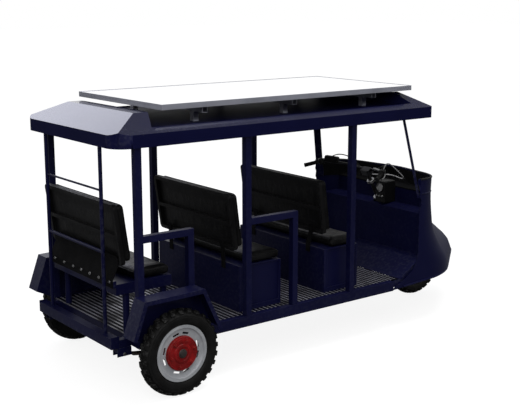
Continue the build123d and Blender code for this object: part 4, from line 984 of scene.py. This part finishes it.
def hub_face(name, body, centre, outward):
    # The stepped disc, its nuts and studs and the axle's cap, on the outer side of the wheel.
    profile = [(radius, outward * (HUB_FACE + rise)) for radius, rise in DISC_STEPS]
    turned(f"{name}_disc", profile, centre, 72, red, "hub_red", body=body)
    fixings = bmesh.new()
    for number in range(NUTS):
        angle = 2 * pi * (number + 0.3) / NUTS
        middle = Vector((centre[0] + NUT_RING * sin(angle), centre[1] + outward * (HUB_FACE + 0.013),
                         centre[2] + NUT_RING * cos(angle)))
        turn = Matrix.Translation(middle) @ Matrix.Rotation(radians(-90) * outward, 4, "X")
        for segments, radius, height in ((24, 0.0135, 0.003), (6, 0.0105, 0.012), (14, 0.0055, 0.017)):
            cone(fixings, segments, radius, 0.9, height, 0.001, turn)
    finished(f"{name}_nuts", fixings, red, "hub_red", body=body, smooth=30.0)
    profile = [(radius, outward * (HUB_FACE + rise)) for radius, rise in CAP_STEPS]
    turned(f"{name}_cap", profile, centre, 48, dull_steel, "aluminium", body=body)


for name, centre in WHEELS.items():
    outward = -1 if name == "rear_right" else 1
    from_cad(f"rim_{name}_sheet", f"rim_{name}", silver, "rim_grey", 0.0012, 1, 0.02, 40.0,
             body=f"wheel_{name}", smooth=35.0)
    refinish(f"hub_{name}", red)
    if name != "front":
        hub_face(f"hub_{name}", f"wheel_{name}", centre, outward)

# Headlamp: a round housing let into the cowl's nose, with a plated ring, a bright bowl and a domed lens
# that is fluted to spread the light.
LAMP_RADIUS = 0.064
LENS_FLUTES = 150.0


def lens_glass():
    material, tree, shader, place = start_material("lamp_glass", 0.05, specular=0.5)
    across = times(tree, axes_of(tree, place)["Y"], LENS_FLUTES)
    flutes = math_node(tree, "ABSOLUTE", math_node(tree, "SINE", across))
    haze = ramp(tree, noise_node(tree, place, 20.0, 4.0), 0.3, 0.8)
    feed(shader, "Base Color", mix_colour(tree, haze, (0.92, 0.94, 0.95), (0.80, 0.81, 0.80)))
    feed(shader, "Roughness", plus(tree, times(tree, haze, 0.12), 0.03))
    shader.inputs["Transmission Weight"].default_value = 0.9
    add_bump(tree, shader, flutes, 0.001, 0.7)
    return material


lamp_low, lamp_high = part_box("headlamp")
lamp_middle = (lamp_high.x, 0.0, lamp_high.z - (lamp_high.y - lamp_low.y) / 2)
from_cad("headlamp_housing", "headlamp", black_plastic, "black_plastic", 0.004, 3, 0.01, smooth=35.0)
profile = [(0.0, 0.0002), (0.020, 0.0012), (LAMP_RADIUS - 0.004, 0.0030), (LAMP_RADIUS - 0.002, 0.0005),
           (0.0, -0.0004)]
turned("headlamp_bowl", profile, lamp_middle, 64, bright_steel, "aluminium", axis=(1, 0, 0), smooth=50.0)
profile = [(0.0, 0.0135), (0.022, 0.0128), (0.043, 0.0102), (LAMP_RADIUS - 0.005, 0.0062),
           (LAMP_RADIUS - 0.005, 0.0040), (0.043, 0.0078), (0.022, 0.0103), (0.0, 0.0110)]
turned("headlamp_lens", profile, lamp_middle, 64, lens_glass(), "lamp_glass", axis=(1, 0, 0), smooth=60.0)
profile = [(LAMP_RADIUS - 0.006, 0.0005), (LAMP_RADIUS - 0.006, 0.0068), (LAMP_RADIUS - 0.003, 0.0088),
           (LAMP_RADIUS + 0.002, 0.0080), (LAMP_RADIUS + 0.006, 0.0045), (LAMP_RADIUS + 0.007, 0.0005)]
turned("headlamp_ring", profile, lamp_middle, 64, bright_steel, "aluminium", axis=(1, 0, 0), smooth=50.0)

# Rear axle, motor and springs: black axle tube, an aluminium motor with cooling fins, springs of rusty dark
# steel, and two U-bolts over the axle at each spring.
MOTOR_FINS = 14
U_BOLT_HALF = 0.038
BOLT_ROD = 0.005


def old_steel(name, dark, rust, roughness, share):
    return coated(name, dark, rust, roughness - 0.1, 0.3, (0.6, 60.0, (0.12, 0.11, 0.10)), (0.35, 0.6),
                  (420.0, 70.0, 0.7, 0.0006, 0.5), (26.0, 7.0, 0.55 - share * 0.3, 0.75), metallic=0.25,
                  dulled=0.0, uneven=(None, None, 0.25))


axle_paint = old_steel("axle_paint", (0.012, 0.012, 0.013), (0.035, 0.018, 0.010), 0.5, 0.2)
spring_steel = old_steel("spring_steel", (0.040, 0.038, 0.036), (0.085, 0.038, 0.018), 0.6, 0.8)
refinish("rear_axle", axle_paint)
refinish("fork", axle_paint)
from_cad("spring_leaves", "leaf_springs", spring_steel, "cast_iron", 0.0015, 2, 0.03, 40.0, smooth=30.0)
from_cad("hanger_channels", "spring_hangers", navy_paint, "black_steel", 0.002, 2, 0.02)
cast_alloy = metal("cast_alloy", (0.30, 0.30, 0.31), (0.20, 0.20, 0.21), 0.5, 0.3)
motor_low, motor_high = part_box("drive_motor")
motor_middle = ((motor_low.x + motor_high.x) / 2, motor_low.y, (motor_low.z + motor_high.z) / 2)
motor_radius, motor_length = (motor_high.x - motor_low.x) / 2, motor_high.y - motor_low.y
profile = [(0.0, 0.0), (motor_radius - 0.004, 0.0), (motor_radius, 0.004), (motor_radius, 0.028)]
fin_pitch = (motor_length - 0.062) / MOTOR_FINS
for fin in range(MOTOR_FINS):
    start = 0.030 + fin * fin_pitch
    profile += [(motor_radius - 0.008, start), (motor_radius - 0.008, start + fin_pitch * 0.55),
                (motor_radius, start + fin_pitch * 0.62), (motor_radius, start + fin_pitch * 0.95)]
profile += [(motor_radius, motor_length - 0.006), (motor_radius - 0.006, motor_length - 0.001),
            (0.030, motor_length - 0.001), (0.026, motor_length), (0.0, motor_length)]
turned("motor_case", profile, motor_middle, 64, cast_alloy, "motor_aluminium", "drive_motor")
leaf_low, leaf_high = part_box("leaf_springs")
axle_top, spring_foot = TYRE_RADIUS + 0.037, leaf_low.z - 0.012
for side, spring_y in (("left", leaf_high.y - 0.022), ("right", leaf_low.y + 0.022)):
    for place, offset in (("inner", -0.027), ("outer", 0.027)):
        line = [(-U_BOLT_HALF, spring_foot), (-U_BOLT_HALF, TYRE_RADIUS), (-0.034, axle_top),
                (0.0, axle_top + 0.004), (0.034, axle_top), (U_BOLT_HALF, TYRE_RADIUS),
                (U_BOLT_HALF, spring_foot)]
        points = [(REAR_AXLE + x, spring_y + offset, z) for x, z in line]
        cord(f"u_bolt_{side}_{place}", points, BOLT_ROD, bright_steel, "aluminium")

# Driver's place: a dashboard shelf under the cowl's rim, a switch box with a dial and three knobs beside the
# column, and a plated collar where the column passes the bulkhead.
from_cad("dashboard_liner", "dashboard", matt_black, "black_plastic", 0.0012, 2, 0.05, 40.0, smooth=35.0)
box_low, box_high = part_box("switch_box")
box_y = (box_low.y + box_high.y) / 2
from_cad("switch_housing", "switch_box", black_plastic, "black_plastic", 0.004, 3, 0.03)
dial_middle = (box_low.x, box_y, box_high.z - 0.052)
profile = [(0.0, 0.0005), (0.034, 0.0005), (0.034, -0.006), (0.031, -0.008), (0.028, -0.006), (0.027, -0.002),
           (0.0, -0.002)]
turned("dial_bezel", profile, dial_middle, 48, bright_steel, "aluminium", axis=(1, 0, 0), smooth=40.0)
knobs = bmesh.new()
for offset in (-0.030, 0.0, 0.030):
    spun_round(knobs, [(0.0, 0.001), (0.009, 0.001), (0.009, -0.006), (0.007, -0.011), (0.0, -0.012)],
               (box_low.x, box_y + offset, box_low.z + 0.052), 24, (1, 0, 0))
finished("switch_knobs", knobs, bright_steel, "aluminium")

# Steering: a black fork and stem, a plated bar in a bolted clamp, ribbed rubber grips, rounded switch pods,
# brake levers, light switches, and thin cables from the levers and the right grip to the stem.
FRONT_AXLE = 1.43075
STEERING_LEAN = radians(30)
STEERING_FOOT = (1.34075, 0.0, 0.285)
BAR_END = (-0.860, 0.420, 1.136)
BAR_BEND = (-0.722, 0.342, 1.172)
GRIP_RIBS = 11
GRIP_LENGTH = 0.107


def along_column(height):
    # The point of the steering axis at a height.
    back = (height - STEERING_FOOT[2]) * sin(STEERING_LEAN) / cos(STEERING_LEAN)
    return Vector((STEERING_FOOT[0] - back, 0.0, height))


column = Vector((-sin(STEERING_LEAN), 0.0, cos(STEERING_LEAN)))
bar_steel = metal("bar_steel", (0.050, 0.050, 0.055), (0.030, 0.030, 0.034), 0.36, 0.02)
refinish("handlebar", bar_steel)
# Collar: name, height on the column, radius and length
COLLARS = (("stem_collar", 1.020, 0.031, 0.026), ("column_collar", 0.885, 0.034, 0.020))
for name, height, reach, tall in COLLARS:
    profile = [(0.012, 0.0), (reach - 0.002, 0.0), (reach, 0.002), (reach, tall - 0.003),
               (reach - 0.003, tall), (0.012, tall)]
    turned(name, profile, along_column(height), 48, bright_steel, "aluminium", axis=column, body="steering",
           smooth=40.0)
grips, pods, levers = bmesh.new(), bmesh.new(), {}
for side in (-1, 1):
    end = Vector((FRONT_AXLE + BAR_END[0], side * BAR_END[1], BAR_END[2]))
    bend = Vector((FRONT_AXLE + BAR_BEND[0], side * BAR_BEND[1], BAR_BEND[2]))
    run = bend - end
    outward = Vector((0.48, side * 0.85, 0.0))
    profile = [(0.0118, 0.0), (0.015, -0.001), (0.0178, 0.002), (0.0178, 0.006)]
    pitch = (GRIP_LENGTH - 0.016) / GRIP_RIBS
    for rib in range(GRIP_RIBS):
        start = 0.008 + rib * pitch
        profile += [(0.0150, start), (0.0150, start + pitch * 0.3), (0.0165, start + pitch * 0.45),
                    (0.0165, start + pitch * 0.85)]
    profile += [(0.0170, GRIP_LENGTH - 0.007), (0.0215, GRIP_LENGTH - 0.005), (0.0215, GRIP_LENGTH - 0.001),
                (0.0118, GRIP_LENGTH)]
    spun_round(grips, profile, end - run * 0.02, 32, run)
    turn = Matrix.Translation(end + run * 0.83) @ run.to_track_quat("Z", "Y").to_matrix().to_4x4()
    pod = cube_between(pods, (-0.027, -0.024, -0.020), (0.027, 0.024, 0.022))
    bmesh.ops.transform(pods, matrix=turn, verts=pod)
    reach = [(0.86, 0.016, 0.0), (0.74, 0.027, 0.0), (0.55, 0.035, -0.002), (0.30, 0.038, -0.004),
             (0.10, 0.033, -0.003)]
    levers[side] = [end + run * share + outward * out + Vector((0, 0, rise)) for share, out, rise in reach]
finished("grips", grips, rubber, "black_plastic", "hand_controls", body="steering", smooth=35.0)
rounded(pods, 0.009, 3, 0.01)
finished("switch_pods", pods, black_plastic, "black_plastic", body="steering", smooth=50.0)
cord("brake_lever_right", levers[-1], 0.0048, bright_steel, "aluminium", "steering")
cord("brake_lever_left", levers[1], 0.0048, bright_steel, "aluminium", "steering")
cluster = bmesh.new()
cube_between(cluster, (-0.060, -0.024, -0.026), (0.060, 0.024, 0.026))
rounded(cluster, 0.012, 3, 0.01)
along_bar = Vector((0.112, -0.212, -0.020)).normalized().to_track_quat("X", "Z").to_matrix().to_4x4()
turn = Matrix.Translation((0.742, 0.285, 1.186)) @ along_bar
bmesh.ops.transform(cluster, matrix=turn, verts=cluster.verts)
finished("light_switches", cluster, black_plastic, "black_plastic", body="steering", smooth=50.0)
# The right brake cable is coloured pale grey, a painted highlight for the bright line along it.
cable_highlight_grey = plastic("cable_highlight_grey", (0.30, 0.30, 0.31), (0.42, 0.42, 0.43), 0.35, 0.4)
# Points of the cables, from the levers and the grip to the stem
BRAKE_CABLE_RIGHT = ((0.722, -0.334, 1.188), (0.745, -0.330, 1.228), (0.800, -0.318, 1.226),
                     (0.905, -0.298, 1.155), (1.025, -0.262, 1.078), (1.062, -0.195, 1.056),
                     (1.015, -0.100, 1.092), (0.882, -0.006, 1.085))
THROTTLE_CABLE = ((0.730, -0.300, 1.180), (0.770, -0.290, 1.205), (0.825, -0.240, 1.195),
                  (0.868, -0.160, 1.170), (0.880, -0.080, 1.135), (0.868, -0.006, 1.105))
BRAKE_CABLE_LEFT = ((0.728, 0.296, 1.196), (0.748, 0.262, 1.226), (0.786, 0.198, 1.234),
                    (0.830, 0.132, 1.205), (0.870, 0.070, 1.130), (0.880, 0.006, 1.085))
cord("brake_cable_right", BRAKE_CABLE_RIGHT, 0.0038, cable_highlight_grey, "black_plastic", "steering")
cord("throttle_cable", THROTTLE_CABLE, 0.0030, rubber, "black_plastic", "steering")
cord("brake_cable_left", BRAKE_CABLE_LEFT, 0.0042, rubber, "black_plastic", "steering")

# Small fixings: hexagon bolts along the rear bench's back rail and on the hangers
RAIL_BOLTS = (0.358, 0.222, 0.091, -0.020, -0.136, -0.257, -0.391)


def hexagon_heads(name, places, towards, radius=0.0085):
    form = bmesh.new()
    aimed = Vector(towards).to_track_quat("Z", "Y").to_matrix().to_4x4()
    for place in places:
        for segments, wide, height in ((20, radius * 1.25, 0.002), (6, radius, 0.006)):
            cone(form, segments, wide, 0.92, height, 0.0002, Matrix.Translation(place) @ aimed)
    finished(name, form, bright_steel, "aluminium", smooth=30.0)


strip_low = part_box("backrest_strips")[0]
hexagon_heads("bench_rail_bolts", [(strip_low.x, y, 0.736) for y in RAIL_BOLTS], (-1, 0, 0))
hanger_low, hanger_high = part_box("spring_hangers")
for name, y, side in (("right", hanger_low.y, -1), ("left", hanger_high.y, 1)):
    places = [(x, y, hanger_low.z + 0.012) for x in (hanger_low.x + 0.050, hanger_high.x - 0.050)]
    hexagon_heads(f"hanger_bolts_{name}", places, (0, side, 0), radius=0.010)
